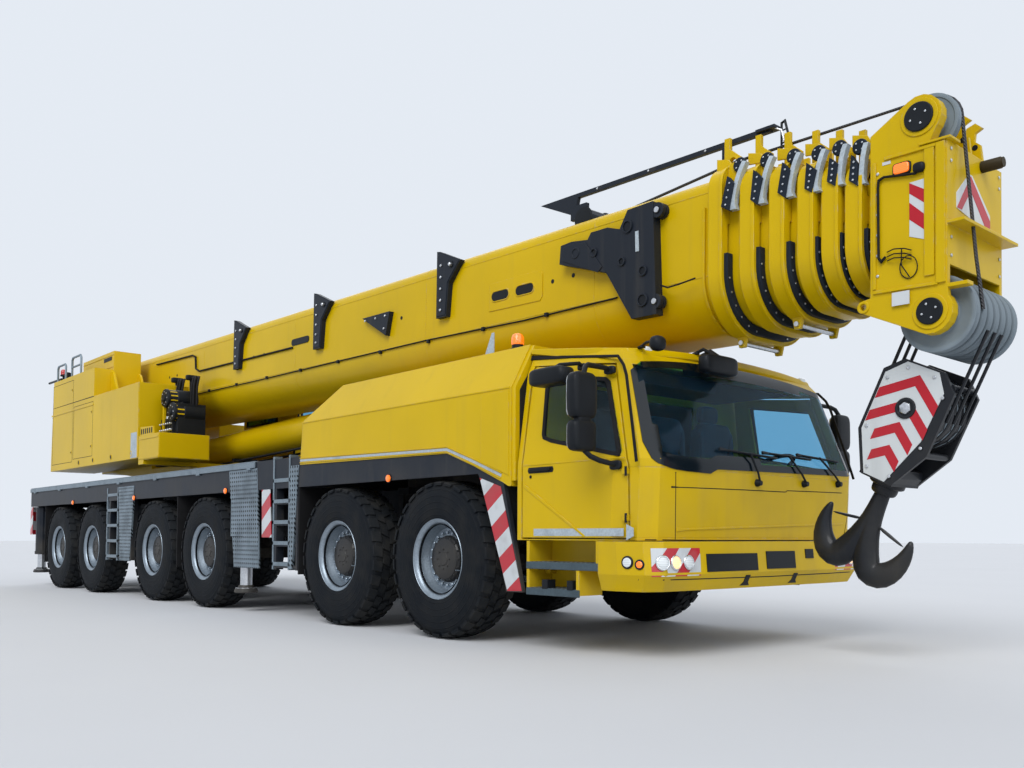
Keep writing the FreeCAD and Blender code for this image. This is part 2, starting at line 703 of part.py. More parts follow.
door_rooms = [above_sill(door_prism(S["door_gap"], 1200, S["cab_half"] + 20, side),
                         sill_in - S["door_gap"], side) for n, side in SIDES]
cab_skin = cut(cab_outer, cab_inner)
node("cab_shell", cut(cab_skin, screen_hole, rear_hole, panel_room, *door_rooms))


node("cab_front_panel", common(cut(cab_outer, cab_inner), panel_room))
glass_skin = cut(cab_solid(size(12)), cab_solid(size(24)))
node("windscreen", common(glass_skin, screen_hole))

door_hinge_x = door_front + 7
door_hinge_y = S["cab_half"] + 5
for label, side in SIDES:
    whole = door_prism(size(0), 1200, S["cab_half"] + 20, side, top_set=14)
    shape = above_sill(whole, sill_in, side)
    leaf = cut(common(cab_skin, shape), window_prism(side))
    low, high = spread(side, 1620, 1860)
    mirror = block(1960, 2060, low, high, 1480, 2030)
    # mirror arms: height, X from and to, Y of the foot on the door, reach up or down to the mirror
    arms = []
    for z0, x0, x1, foot, z1, z2 in ((1390, 2050, 2100, 1435, 1390, 1490), (2090, 1920, 1960, 1355, 2020, 2130)):
        arms.append(block(x0, x1, *spread(side, foot, 1700), z0, z0 + 40))
        arms.append(block(min(x0, 1990), max(x1, 1990), *spread(side, 1660, 1700), z1, z2))
    for z0 in (1000, 1330):
        low, high = spread(side, 1435, door_hinge_y)
        arms.append(block(door_hinge_x - 35, door_hinge_x, low, high, z0, z0 + 40))
        pin = (door_hinge_x, side * door_hinge_y, z0, 10, 40)
        arms.append(round_bar("Z", *pin) if z0 == 1000 else flat_bar("Z", *pin, 6))
    node("cab_door_" + label, fuse(leaf, mirror, *arms))

bumper_outer = doc.addObject("Part::Loft", "BumperForm")
bumper_outer.Sections = [
    plan_outline(S["bumper_low"], S["cab_half"] - 30, S["cab_front"] + 20, size(1920)),
    plan_outline(S["bumper_low"] + 120, S["cab_half"] + 10, S["cab_front"] + 80, size(1920)),
    plan_outline(S["cab_floor"] - 5, S["cab_half"] + 10, S["cab_front"] + 60, size(1920)),
]
bumper_outer.Solid = True
bumper_outer.Ruled = True
bumper = [cut(bumper_outer, block(1900, 2200, -1300, 1300, S["bumper_low"], S["cab_floor"]))]
for label, side in SIDES:
    low, high = spread(side, 1230, S["cab_half"])
    bumper += [
        block(1150, 1960, low, high, 640, 690), block(1150, 1720, low, high, 450, 490),
        block(1150, 1180, low, high, 450, S["cab_floor"] - 5),
        block(1690, 1720, low, high, 450, 690),
        block(1890, 1960, low, high, 640, S["cab_floor"] - 5)]
    low, high = spread(side, S["frame_half"], 1300)
    bumper.append(block(1150, 1230, low, high, 600, 700))
node("bumper", fuse(*bumper))

floor_top = S["cab_floor"] + S["cab_wall"]
inside = [block(S["cab_rear"] + 80, 2200, -1300, 1300, floor_top, floor_top + 20),
          block(2020, 2230, -1250, 1250, floor_top, 1400)]
for y0, y1 in ((450, 1000), (-1000, -450), (-275, 275)):
    inside += [block(1250, 1750, y0, y1, floor_top, 1330),
               block(1180, 1300, y0, y1, 1300, 1950)]
wheel_lean = FreeCAD.Rotation(FreeCAD.Vector(0, 1, 0), -25)
ring = cut(flat_bar("Z", 0, 0, -15, 235, 30, 16), flat_bar("Z", 0, 0, -16, 200, 32, 16))
ring = fuse(ring, block(-25, 25, -225, 225, -12, 12), block(-220, 0, -20, 20, -12, 12),
            flat_bar("Z", 0, 0, -300, 25, 300, 8))
inside.append(place(apart(ring), 1900, 725, 1500, wheel_lean))
node("cab_interior", fuse(*inside))

# Turntable
slew_x = -S["slew_back"]
pivot_x = -S["pivot_back"]
cylinder_x = -S["cylinder_back"]
side_out = S["side_plate_in"] + S["side_plate"]
tilt_x = cylinder_x - 110
tilt_z = S["platform_top"] + 80
turntable = [
    block(slew_x - 1600, slew_x + 750, -side_out, side_out, S["platform_low"],
          S["platform_top"]),
    flat_bar("Y", pivot_x, -side_out - 30, S["pivot_height"], S["pivot_radius"],
             2 * side_out + 60, 16),
    flat_bar("Y", cylinder_x, -275, S["cylinder_height"], 80, 550, 16),
    block(pivot_x + 100, slew_x - 1500, -S["side_plate_in"], S["side_plate_in"], 1990, 2030),
    block(slew_x + 560, slew_x + 750, -S["house_out"], side_out, 1900, S["platform_top"]),
    block(-7140, -6400, -S["house_out"], -S["house_in"], S["platform_top"], 2310),
    block(cylinder_x - 250, slew_x + 750, side_out, S["house_out"], 1900, S["platform_top"]),
]
for label, side in SIDES:
    cheek = [(-8700, S["platform_low"]), (-8700, 2150), (-10400, 2700),
             (pivot_x + 300, S["pivot_height"] + 220), (pivot_x - 150, S["pivot_height"] + 220),
             (pivot_x - 230, S["pivot_height"] - 100), (pivot_x, 2300), (-10600, 1990),
             (slew_x - 1600, S["platform_low"])]
    low, high = spread(side, S["side_plate_in"], side_out)
    turntable.append(prism("XZ", cheek, low, high))
    low, high = spread(side, side_out, S["house_in"])
    turntable.append(block(-10600, -9400, low, high, 2050, 2200))
    low, high = spread(side, 225, 275)
    lug = [(cylinder_x - 230, S["platform_top"]), (cylinder_x - 120, 2330),
           (cylinder_x + 120, 2330), (cylinder_x + 230, S["platform_top"])]
    turntable.append(prism("XZ", lug, low, high))
for y0 in (860, 1300):
    turntable.append(block(tilt_x - 40, tilt_x + 40, y0, y0 + 30, S["platform_top"], tilt_z + 35))
union_hole = round_bar("Z", slew_x, 0, S["platform_low"], 110, S["platform_top"] - S["platform_low"])
tilt_holes = flat_bar("Y", tilt_x, 700, tilt_z, 20.3, 760, 12, on_flats=True)
node("turntable", cut(fuse(*turntable), union_hole, tilt_holes))

house = [(-11270, S["house_low"]), (-7140, S["house_low"]), (-7160, 3100), (-9100, 3100),
         (-9100, 3560), (-11190, 3560)]
node("machinery_house", apart(
    fuse(prism("XZ", house, -S["house_out"], -S["house_in"]),
         block(-10600, -9100, -1150, -S["house_in"], 3560, 3870)),
    block(-11200, -9250, S["house_in"], S["house_out"], S["house_low"], 2850),
    fuse(block(-7100, -6560, -1120, -S["house_in"], 2310, 2760),
         flat_bar("Y", -6900, -1180, 2860, 130, 440),
         flat_bar("Y", -6660, -1180, 2640, 130, 440))))

drum = [flat_bar("Y", -10150, -S["side_plate_in"], 2300, 60, 2 * S["side_plate_in"]),
        flat_bar("Y", -10150, -480, 2300, 170, 960, 16)]
for y0 in (-500, 460):
    drum.append(flat_bar("Y", -10150, y0, 2300, 260, 40, 16))
node("winch_drum", fuse(*drum))

# Crane operator's cab on the turntable's left
cabin = [(cylinder_x - 50, 1960.3), (-6650, 1960.3), (-6450, 2600), (-6500, 3000),
         (-6900, 3700), (cylinder_x + 30, 3700)]
cabin_inner = [(cylinder_x - 5, 2010), (-6690, 2010), (-6500, 2600), (-6550, 2990),
               (-6930, 3655), (cylinder_x + 70, 3655)]
cabin_shell = cut(
    prism("XZ", cabin, 730, 1460), prism("XZ", cabin_inner, 775, 1415),
    block(-7900, -7000, 1400, 1470, 2060, 3600),
    block(-7100, -6400, 800, 1390, 2250, 3560),
    block(-8200, -7150, 720, 790, 2700, 3560),
    block(-8420, -8200, 850, 1340, 2900, 3560))
cabin_seat = fuse(block(-7850, -7350, 860, 1330, 2010, 2480),
                  block(-7900, -7760, 860, 1330, 2400, 3100))
tilt_lugs = [block(tilt_x - 25, cylinder_x - 45, y0, y0 + 40, tilt_z - 25, tilt_z + 25)
             for y0 in (760, 1390)]
tilt_pin = round_bar("Y", tilt_x, 760, tilt_z, 20, 670)
node("operator_cab", fuse(cabin_shell, cabin_seat, tilt_pin, *tilt_lugs))
node("operator_door", cut(block(-7920, -6980, 1460.3, 1490, 2040, 3620),
                          block(-7840, -7060, 1450, 1500, 2500, 3540)))

# Boom, drawn along its own length


def bent_corner(y, z, radius, start, bends):
    """Corners of a sheet folded round a radius through a right angle, in a few bends."""
    points = []
    for i in range(int(bends.value) + 1):
        angle = start + i * 90 / bends.value
        points.append((y + radius * cosine(size(angle)), z + radius * sine(size(angle))))
    return points


def section_outline(half, low, top, corner, belly, start):
    """A boom section's profile: square shoulders over a many-times folded belly."""
    bends, folds = S["corner_bends"], S["belly_bends"]
    points = (bent_corner(half - corner, top - corner, corner, 0, bends)
              + bent_corner(corner - half, top - corner, corner, 90, bends)
              + bent_corner(belly - half, low + belly, belly, 180, folds)
              + bent_corner(half - belly, low + belly, belly, 270, folds))
    return outline("YZ", points, x=start)


def profile_bar(number, grow, start, end):
    """A length of a section's profile, grown or shrunk all round."""
    half = S["boom_half"] - number * S["boom_step"] + grow
    top = S["boom_above"] - number * S["boom_step"] + grow
    low = number * S["boom_step"] - S["boom_below"] - grow
    corner = S["boom_corner"] + grow
    belly = S["boom_belly"] - number * S["boom_step"] * 0.8 + grow
    obj = doc.addObject("Part::Extrusion", "Bar")
    obj.Base = section_outline(half, low, top, corner, belly, start)
    obj.DirMode = "Normal"
    obj.Solid = True
    bind(obj, "LengthFwd", size(end) - start)
    return obj


def tube(number, start, end):
    wall = S["boom_wall"]
    return cut(profile_bar(number, size(0), start, end), profile_bar(number, -wall, start, end))


def collar(number, middle):
    """Front collar with ears, lugs, and the wear pads that guide the next section."""
    start = middle - S["collar_length"] / 2
    end = middle + S["collar_length"] / 2
    wall = S["boom_wall"]
    half = S["boom_half"] - number * S["boom_step"]
    top = S["boom_above"] - number * S["boom_step"]
    low = number * S["boom_step"] - S["boom_below"]
    parts = [cut(profile_bar(number, S["collar_wall"], start, end),
                 profile_bar(number, -wall, start, end))]
    play = S["beam_play"]
    step = S["boom_step"]
    parts.append(block(start, end, -130, 130, low + wall - 1, low + step - play))
    ear = top + S["ear_rise"]
    ear_plate = [(start - 20, top - 5), (start - 20, ear), (start + 30, ear), (start + 30, ear - 90),
                 (end - 5, ear - 170), (end - 5, top - 5)]
    lower_lug = [(start + 10, low), (start + 40, low - 130), (end - 40, low - 130), (end - 10, low)]
    for label, side in SIDES:
        y0, y1 = spread(side, half - 200, half - 170)
        hole = flat_bar("Y", middle, y0 - 5, ear - 200, 30, 40, 8)
        parts.append(cut(prism("XZ", ear_plate, y0, y1), hole))
        y0, y1 = spread(side, half - 300, half - 180)
        parts.append(block(start, end, y0, y1, top - step + play, top - wall + 1))
        y0, y1 = spread(side, half - step + play, half - wall + 1)
        parts.append(block(start, end, y0, y1, top - 400, top - 200))
        if number in LUGGED:
            y0, y1 = spread(side, 235, 265)
            hole = flat_bar("Y", middle, y0 - 5, low - 95, 20, 40, 8)
            parts.append(cut(prism("XZ", lower_lug, y0, y1), hole))
    return parts


# sections whose collars carry lugs below
LUGGED = (0, 2)


def sheave_set(x, z, first, pitch, count, width, radius):
    """Rope sheaves side by side on one pin, a corner of each against the hanging rope."""
    parts = []
    for i in range(count):
        y = first + i * pitch
        disc = flat_bar("Y", x, y, z, radius, width, 16, spin=(S["hook_lean"] - S["boom_tilt"]).value)
        hole = flat_bar("Y", x, y, z, pin_bore, width, 8, on_flats=True, spin=0)
        parts.append(cut(disc, hole))
    return parts


foot = [(-200, -150), (-120, -220), (200, -230), (1100, -S["boom_below"]), (1100, 850),
        (900, 800), (60, 200), (-150, 160)]
lug = [(S["lug_ahead"] - 420, -S["boom_below"] + 5), (S["lug_ahead"] - 180, -S["lug_below"] - 160),
       (S["lug_ahead"] + 180, -S["lug_below"] - 160), (S["lug_ahead"] + 420, -S["boom_below"] + 5)]
base = [tube(0, S["boom_start"], S["collar_1"])] + collar(0, S["collar_1"])
lug_in = size(145)
for label, side in SIDES:
    low, high = spread(side, S["boom_half"] - 60, S["boom_half"] - 1)
    base.append(prism("XZ", foot, low, high))
    low, high = spread(side, lug_in, lug_in + 50)
    base.append(prism("XZ", lug, low, high))
    low, high = spread(side, lug_in + 49, lug_in + 80)
    base.append(flat_bar("Y", S["lug_ahead"], low, -S["lug_below"], 110, high - low))
pin_hole = round_bar("Y", 0, -S["boom_half"], 0, S["pivot_radius"] + S["running_gap"],
                     2 * S["boom_half"])
node("boom_base", cut(fuse(*base), pin_hole), on_boom=True)

COLLARS = [S["collar_%d" % i] for i in range(1, 7)]
for number in range(1, 6):
    start = S["boom_start"] + 250 * number
    pieces = [tube(number, start, COLLARS[number])] + collar(number, COLLARS[number])
    node("telescope_%d" % number, fuse(*pieces), on_boom=True)

# Boom head on the innermost section
head_x = S["head_start"]
head_y = S["head_half"]
head_in = head_y - S["head_plate"]
top_x, top_z = S["head_top_axis_x"], S["head_top_axis_z"]
low_x, low_z = S["head_low_axis_x"], S["head_low_axis_z"]
lobe = S["lobe_radius"]
pin_radius = 60
pin_bore = pin_radius + S["running_gap"]
jib_x, jib_z = head_x - 50, size(-257)
flange = [(-head_y, -285), (-head_y, 785), (head_y, 785), (head_y, -285), (230, -285), (230, -90),
          (-230, -90), (-230, -285)]
head_side = [(head_x + 20, 750), (S["head_front"], 750), (S["head_front"], -200),
             (low_x + lobe * 0.9, low_z - lobe * 0.4), (low_x + lobe * 0.3, low_z - lobe * 0.95),
             (low_x - lobe * 0.5, low_z - lobe * 0.85), (jib_x, jib_z - 45), (jib_x - 45, jib_z),
             (jib_x - 30, jib_z + 40), (head_x + 20, jib_z + 60)]
upper_side = [(head_x, 780), (head_x, 913), (top_x - lobe * 0.6, top_z + lobe * 0.8),
              (top_x + lobe * 0.3, top_z + lobe * 0.95), (top_x + lobe, top_z - 20), (top_x + 60, 745),
              (head_x + 30, 745)]
lobe_sides = 16
head = [tube(6, S["boom_start"] + 1500, head_x + 60), prism("YZ", flange, head_x, head_x + 25),
        block(S["head_front"] - 20, S["head_front"], -head_y, head_y, -60, 750),
        block(head_x, S["head_front"], 60 - head_y, head_y, 730, 750),
        block(S["head_front"] - 5, S["head_front"] + 110, -head_y, head_y, 200, 220),
        block(S["head_front"] - 60, S["head_front"] + 130, -head_y, 80 - head_y, -215, -190),
        flat_bar("X", S["head_front"] - 5, 100, 700, 30, 150, 8)]
for label, side in SIDES:
    low, high = spread(side, head_in + 40, head_y)
    head.append(prism("XZ", head_side, low, high))
    low, high = spread(side, head_in, head_y)
    head.append(flat_bar("Y", low_x, low, low_z, lobe, S["head_plate"], lobe_sides))
    low, high = spread(side, head_y - 5, head_y + 15)
    head.append(block(S["head_front"] - 70, S["head_front"] - 10, low, high, -180, 740))
# upper sheave between a lobed outer plate and an inner one
top_sheave_y = -260
head += [prism("XZ", upper_side, -head_y, -head_in), prism("XZ", upper_side, -190, -165),
         flat_bar("Y", top_x, -head_y, top_z, lobe, S["head_plate"], lobe_sides)]
horn = [(0, 745), (110, 745), (95, 870), (55, 905), (60, 960), (110, 985), (60, 1030), (0, 1010),
        (-25, 900)]
for y0 in (-60, 130):
    head.append(prism("XZ", [(S["head_front"] - 115 + x, z) for x, z in horn], y0, y0 + 25))
head.append(flat_bar("Y", low_x, -head_y - 15, low_z, pin_radius - 4, 2 * head_y + 30, 8))
head.append(round_bar("Y", low_x, -head_in, low_z, pin_radius, 2 * head_in))
head.append(flat_bar("Y", top_x, -head_y - 15, top_z, pin_radius, head_y - 150, 8))
jib_holes = flat_bar("Y", jib_x, -head_y, jib_z, S["jib_pin_radius"], 2 * head_y, 8)
inner_bore = profile_bar(6, -S["boom_wall"], head_x - 10, head_x + 40)
node("telescope_6", cut(fuse(*head), inner_bore, jib_holes), on_boom=True)

sheaves = sheave_set(low_x, low_z, -330, 100, 7, 60, S["sheave_radius"])
sheaves += sheave_set(top_x, top_z, top_sheave_y - 30, 0, 1, 60, S["top_sheave_radius"])
node("head_sheaves", apart(*sheaves), on_boom=True)

# Brackets for the jib, and the bar over the boom
out = S["boom_half"]
hook_plate = [(0, 345), (0, 1042), (55, 1031), (390, 888), (200, 686), (165, 345)]
brackets = []
for x0 in (5400, 7600, 10107):
    brackets.append(prism("XZ", [(x0 + x, z) for x, z in hook_plate], -out - 60, -out))
fork = [(11957, 541), (11971, 705), (12104, 715), (12300, 690), (12340, 745), (12533, 745),
        (12670, 700), (12756, 841), (13027, 850), (13070, -76), (12811, -75), (12522, 362)]
brackets.append(prism("XZ", fork, -out - 90, -out))
brackets.append(prism("XZ", [(8700, 560), (9250, 560), (9180, 300)], -out - 60, -out))
bar_plate = [(11350, 1290), (11750, 1113), (11820, 1134), (11850, 1250), (13900, 1250),
             (13925, 1290)]
brackets.append(fuse(prism("XZ", bar_plate, -320, -280),
                     flat_bar("Y", 11940, -330, S["boom_above"] + 95, 95, 240, on_flats=True),
                     block(11760, 11960, -320, -280, 1050, 1180),
                     block(13460, 13530, -320, -280, S["boom_above"], 1270)))
node("jib_brackets", apart(*brackets), on_boom=True)

# Lift cylinder between turntable and boom
tilt = S["boom_tilt"]
lug_x = pivot_x + S["lug_ahead"] * cosine(tilt) - S["lug_below"] * sine(tilt)
lug_z = S["pivot_height"] - S["lug_below"] * cosine(tilt) - S["lug_ahead"] * sine(tilt)
reach_x = (lug_x - cylinder_x).value
reach_z = (lug_z - S["cylinder_height"]).value
lift_angle = math.degrees(math.atan2(reach_z, reach_x))
lift_length = size(math.hypot(reach_x, reach_z))
eye = 170


def on_cylinder(name, piece):
    """Put a piece drawn along the lift cylinder in its place."""
    turn = FreeCAD.Rotation(FreeCAD.Vector(0, 1, 0), -lift_angle)
    piece.Label = name
    place(piece, S["front_axle_x"] + cylinder_x, 0, S["cylinder_height"], turn)
    NODES.append(piece)


barrel_end = lift_length - 500
on_cylinder("lift_cylinder", cut(
    fuse(flat_bar("Y", 0, -224.7, 0, eye, 449.4, 16),
         flat_bar("X", 100, 0, 0, S["cylinder_radius"], barrel_end - 100, 16)),
    round_bar("Y", 0, -225, 0, 80 + S["running_gap"], 450),
    flat_bar("X", 300, 0, 0, S["cylinder_rod_radius"] + S["running_gap"], barrel_end - 300, 16)))
on_cylinder("lift_rod", fuse(
    flat_bar("Y", lift_length, -130, 0, eye, 260, 16),
    flat_bar("X", 320, 0, 0, S["cylinder_rod_radius"], lift_length - 440, 16)))

# Hook block under the lower sheaves
hang_x = pivot_x + S["head_low_axis_x"] * cosine(tilt) + S["head_low_axis_z"] * sine(tilt)
hang_z = (S["pivot_height"] + S["head_low_axis_z"] * cosine(tilt)
          - S["head_low_axis_x"] * sine(tilt))


def on_rope(name, piece):
    """Hang a piece from the lower sheaves, leaning as it travels."""
    piece.Label = name
    turn = FreeCAD.Rotation(FreeCAD.Vector(0, 1, 0), S["hook_lean"].value)
    place(piece, S["front_axle_x"] + hang_x, 0, hang_z, turn)
    bind(piece, "Placement.Rotation.Angle", S["hook_lean"])
    NODES.append(piece)


cheek = [(-150, -340), (150, -340), (270, -450), (270, -900), (120, -1180), (-120, -1180),
         (-270, -900), (-270, -450)]
hanger = [block(-130, 130, -200, 200, -1180, -1060),
          flat_bar("Y", 0, -200, -650, 50, 400, 8)]
for label, side in SIDES:
    low, high = spread(side, 170, 200)
    hanger.append(prism("XZ", cheek, low, high))
fall_x = S["sheave_radius"] + S["rope_radius"] * cosine(size(30)) + S["running_gap"]
for i in range(3):
    hanger.append(flat_bar("Y", 0, -150 + i * 110, -650, S["sheave_radius"], 80, 16, on_flats=True))
    for x in (-fall_x, fall_x):
        hanger.append(flat_bar("Z", x, -110 + i * 110, -650, S["rope_radius"], 650, 6))
on_rope("hook_block", cut(fuse(*hanger), round_bar("Z", 0, 0, -1180, 55 + S["running_gap"], 90)))
horns = [(-60, -1300), (-60, -1560), (-180, -1700), (-300, -1600), (-330, -1480), (-370, -1640),
         (-300, -1850), (-120, -2000), (0, -2045), (120, -2000), (300, -1850), (370, -1640),
         (330, -1480), (300, -1600), (180, -1700), (60, -1560), (60, -1300)]
on_rope("hook", fuse(flat_bar("Z", 0, 0, -1320, 55, 220, 12), prism("XZ", horns, -60, 60)))

doc.recompute()
failed = []
for obj in doc.Objects:
    if "Invalid" in obj.State or "Error" in obj.State:
        failed.append(obj.Name + " " + obj.Label)
for piece in NODES:
    if piece.Shape.isNull() or not piece.Shape.isValid() or not piece.Shape.Solids:
        failed.append(piece.Label)
if failed:
    raise RuntimeError("these pieces failed: " + ", ".join(failed))
os.makedirs("parts", exist_ok=True)
for piece in NODES:
    piece.Shape.exportStep(os.path.join("parts", piece.Label + ".step"))
print(len(NODES), "pieces written")
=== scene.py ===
import json
import math

import bmesh
import bpy
from mathutils import Matrix, Vector


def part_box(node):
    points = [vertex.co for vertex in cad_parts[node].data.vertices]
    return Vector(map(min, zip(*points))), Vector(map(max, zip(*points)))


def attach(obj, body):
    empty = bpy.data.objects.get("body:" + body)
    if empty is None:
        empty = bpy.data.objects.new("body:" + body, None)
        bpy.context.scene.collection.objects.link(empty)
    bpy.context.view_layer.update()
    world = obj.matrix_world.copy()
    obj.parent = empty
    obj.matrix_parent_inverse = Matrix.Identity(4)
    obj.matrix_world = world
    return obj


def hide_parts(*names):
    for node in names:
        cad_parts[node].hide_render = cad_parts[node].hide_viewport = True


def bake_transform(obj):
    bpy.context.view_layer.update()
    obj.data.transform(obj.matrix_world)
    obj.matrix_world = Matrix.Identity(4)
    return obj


bl_info = {
    "name": "Mobile Crane",
    "version": (1, 0, 0),
    "blender": (4, 5, 0),
    "location": "View3D > Sidebar > Crane",
    "description": "Finishes, tyres, cab fittings and boom fittings of a six-axle mobile crane",
    "category": "Object",
}

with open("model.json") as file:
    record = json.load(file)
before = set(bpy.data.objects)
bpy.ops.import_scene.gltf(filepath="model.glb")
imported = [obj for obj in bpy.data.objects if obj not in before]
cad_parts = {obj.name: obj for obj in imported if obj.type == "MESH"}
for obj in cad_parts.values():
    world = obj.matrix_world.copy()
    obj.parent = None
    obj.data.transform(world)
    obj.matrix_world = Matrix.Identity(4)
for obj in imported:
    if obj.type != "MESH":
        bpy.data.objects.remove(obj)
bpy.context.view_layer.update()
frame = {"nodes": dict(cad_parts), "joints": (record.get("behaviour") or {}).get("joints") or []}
JOINTS = {joint["name"]: joint for joint in frame["joints"]}

# Frames that the pieces are drawn in, all in millimetres
MILLIMETRES = Matrix.Scale(0.001, 4)
wheel_low, wheel_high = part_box("wheel_1_right")
CHASSIS = Matrix.Translation(((wheel_low.x + wheel_high.x) / 2, 0, 0)) @ MILLIMETRES


def jointed_frame(pivot, along):
    """A frame at one joint's pin, with X along another joint's slide."""
    x, _, z = JOINTS[along]["axis"]
    turn = Matrix.Rotation(math.atan2(-z, x), 4, "Y")
    return Matrix.Translation(JOINTS[pivot]["pos_m"]) @ turn @ MILLIMETRES


BOOM = jointed_frame("boom_lift", "extend_1")
CYLINDER = jointed_frame("lift_cylinder_pivot", "lift_rod_slide")
HANG_AXIS = JOINTS["hook_turn"]["axis"]
HANGER = (Matrix.Translation(JOINTS["hook_block_swing"]["pos_m"])
          @ Matrix.Rotation(math.atan2(HANG_AXIS[0], HANG_AXIS[2]), 4, "Y") @ MILLIMETRES)
SIDES = (("right", -1), ("left", 1))


def span(side, near, far):
    """Two distances from the middle plane on one side, the lower first."""
    return sorted((side * near, side * far))


class CranePaint(bpy.types.PropertyGroup):
    """Colours of the crane"""
    yellow: bpy.props.FloatVectorProperty(
        name="Crane yellow", description="Paint of the cab, hood, upper works and boom",
        subtype="COLOR", size=3, min=0, max=1, default=(0.60, 0.40, 0.001))
    lower: bpy.props.FloatVectorProperty(
        name="Lower works", description="Paint of the frame, skirts and brackets",
        subtype="COLOR", size=3, min=0, max=1, default=(0.010, 0.014, 0.022))
    steel: bpy.props.FloatVectorProperty(
        name="Step steel", description="Galvanised ladders, rails and grids",
        subtype="COLOR", size=3, min=0, max=1, default=(0.20, 0.25, 0.29))
    red: bpy.props.FloatVectorProperty(
        name="Warning red", description="Red of the warning stripes",
        subtype="COLOR", size=3, min=0, max=1, default=(0.45, 0.008, 0.02))


class CraneSizes(bpy.types.PropertyGroup):
    """Sizes of the fittings"""
    tread_pitches: bpy.props.IntProperty(
        name="Tread pitches", description="Tread blocks round a tyre", default=30, min=12, max=60)
    tread_depth: bpy.props.FloatProperty(
        name="Tread depth", description="Depth of the grooves between tread blocks",
        subtype="DISTANCE", unit="LENGTH", default=0.018, min=0.005, max=0.03)
    wheel_nuts: bpy.props.IntProperty(
        name="Wheel nuts", description="Nuts on each wheel disc", default=20, min=6, max=32)
    rope_radius: bpy.props.FloatProperty(
        name="Rope radius", description="Half the thickness of the hoist rope",
        subtype="DISTANCE", unit="LENGTH", default=0.012, min=0.005, max=0.02)
    stripe_pitch: bpy.props.FloatProperty(
        name="Stripe pitch", description="Width of a red and a white warning stripe",
        subtype="DISTANCE", unit="LENGTH", default=0.26, min=0.05, max=0.6)


# Shader values


class Value:
    """A shader value that sums can be written with."""

    def __init__(self, finish, socket):
        self.finish = finish
        self.socket = socket

    def math(self, operation, *values):
        return self.finish.node("ShaderNodeMath", {"operation": operation},
                                dict(enumerate(values)))

    def __add__(self, other):
        return self.math("ADD", self, other)

    def __radd__(self, other):
        return self.math("ADD", other, self)

    def __sub__(self, other):
        return self.math("SUBTRACT", self, other)

    def __rsub__(self, other):
        return self.math("SUBTRACT", other, self)

    def __mul__(self, other):
        return self.math("MULTIPLY", self, other)

    def __rmul__(self, other):
        return self.math("MULTIPLY", other, self)

    def __truediv__(self, other):
        return self.math("DIVIDE", self, other)

    def __mod__(self, other):
        return self.math("FLOORED_MODULO", self, other)

    def __gt__(self, other):
        return self.math("GREATER_THAN", self, other)

    def __lt__(self, other):
        return self.math("LESS_THAN", self, other)

    def __abs__(self):
        return self.math("ABSOLUTE", self)

    def clip(self, low, high):
        """0 below one bound, 1 above the other, and between them in proportion."""
        return self.finish.node("ShaderNodeMapRange", {},
                                {"Value": self, "From Min": low, "From Max": high})


class Finish:
    """A procedural material."""

    def __init__(self, name, **numbers):
        self.material = bpy.data.materials.new(name)
        self.material.use_nodes = True
        self.nodes = self.material.node_tree.nodes
        self.shader = self.nodes["Principled BSDF"]
        self.place = self.node("ShaderNodeTexCoord", {}, {}, "Object")
        axes = self.node("ShaderNodeSeparateXYZ", {}, {0: self.place}, None)
        self.x, self.y, self.z = [Value(self, axes.outputs[i]) for i in range(3)]
        for name, number in numbers.items():
            self.shader.inputs[name.replace("_", " ")].default_value = number

    def node(self, kind, settings, sockets, output=0):
        made = self.nodes.new(kind)
        for key, value in settings.items():
            setattr(made, key, value)
        for key, value in sockets.items():
            if isinstance(value, Value):
                self.material.node_tree.links.new(value.socket, made.inputs[key])
            else:
                made.inputs[key].default_value = value
        return made if output is None else Value(self, made.outputs[output])

    def feed(self, name, value):
        self.material.node_tree.links.new(value.socket, self.shader.inputs[name])

    def noise(self, scale, detail=3.0, stretch=None):
        at = self.place
        if stretch:
            at = self.node("ShaderNodeMapping", {}, {"Vector": at, "Scale": stretch})
        return self.node("ShaderNodeTexNoise", {}, {"Vector": at, "Scale": scale,
                                                    "Detail": detail})

    def mix(self, mask, first, second):
        """First colour where the mask is 0, second where it is 1."""
        pair = [c if isinstance(c, Value) else tuple(c)[:3] + (1.0,) for c in (first, second)]
        return self.node("ShaderNodeMix", {"data_type": "RGBA"},
                         {0: mask, 6: pair[0], 7: pair[1]}, 2)

    def relief(self, height, depth, rounding=0.0):
        """Bump of a depth in metres, over edges rounded by a radius."""
        sockets = {"Height": height, "Distance": depth}
        if rounding:
            sockets["Normal"] = self.node("ShaderNodeBevel", {"samples": 6}, {"Radius": rounding})
        self.feed("Normal", self.node("ShaderNodeBump", {}, sockets))


def shade(colour, factor):
    return tuple(part * factor for part in tuple(colour)[:3])


FINISHES = {}
# edges that bend by more than this show as edges
SHARP = math.radians(38)


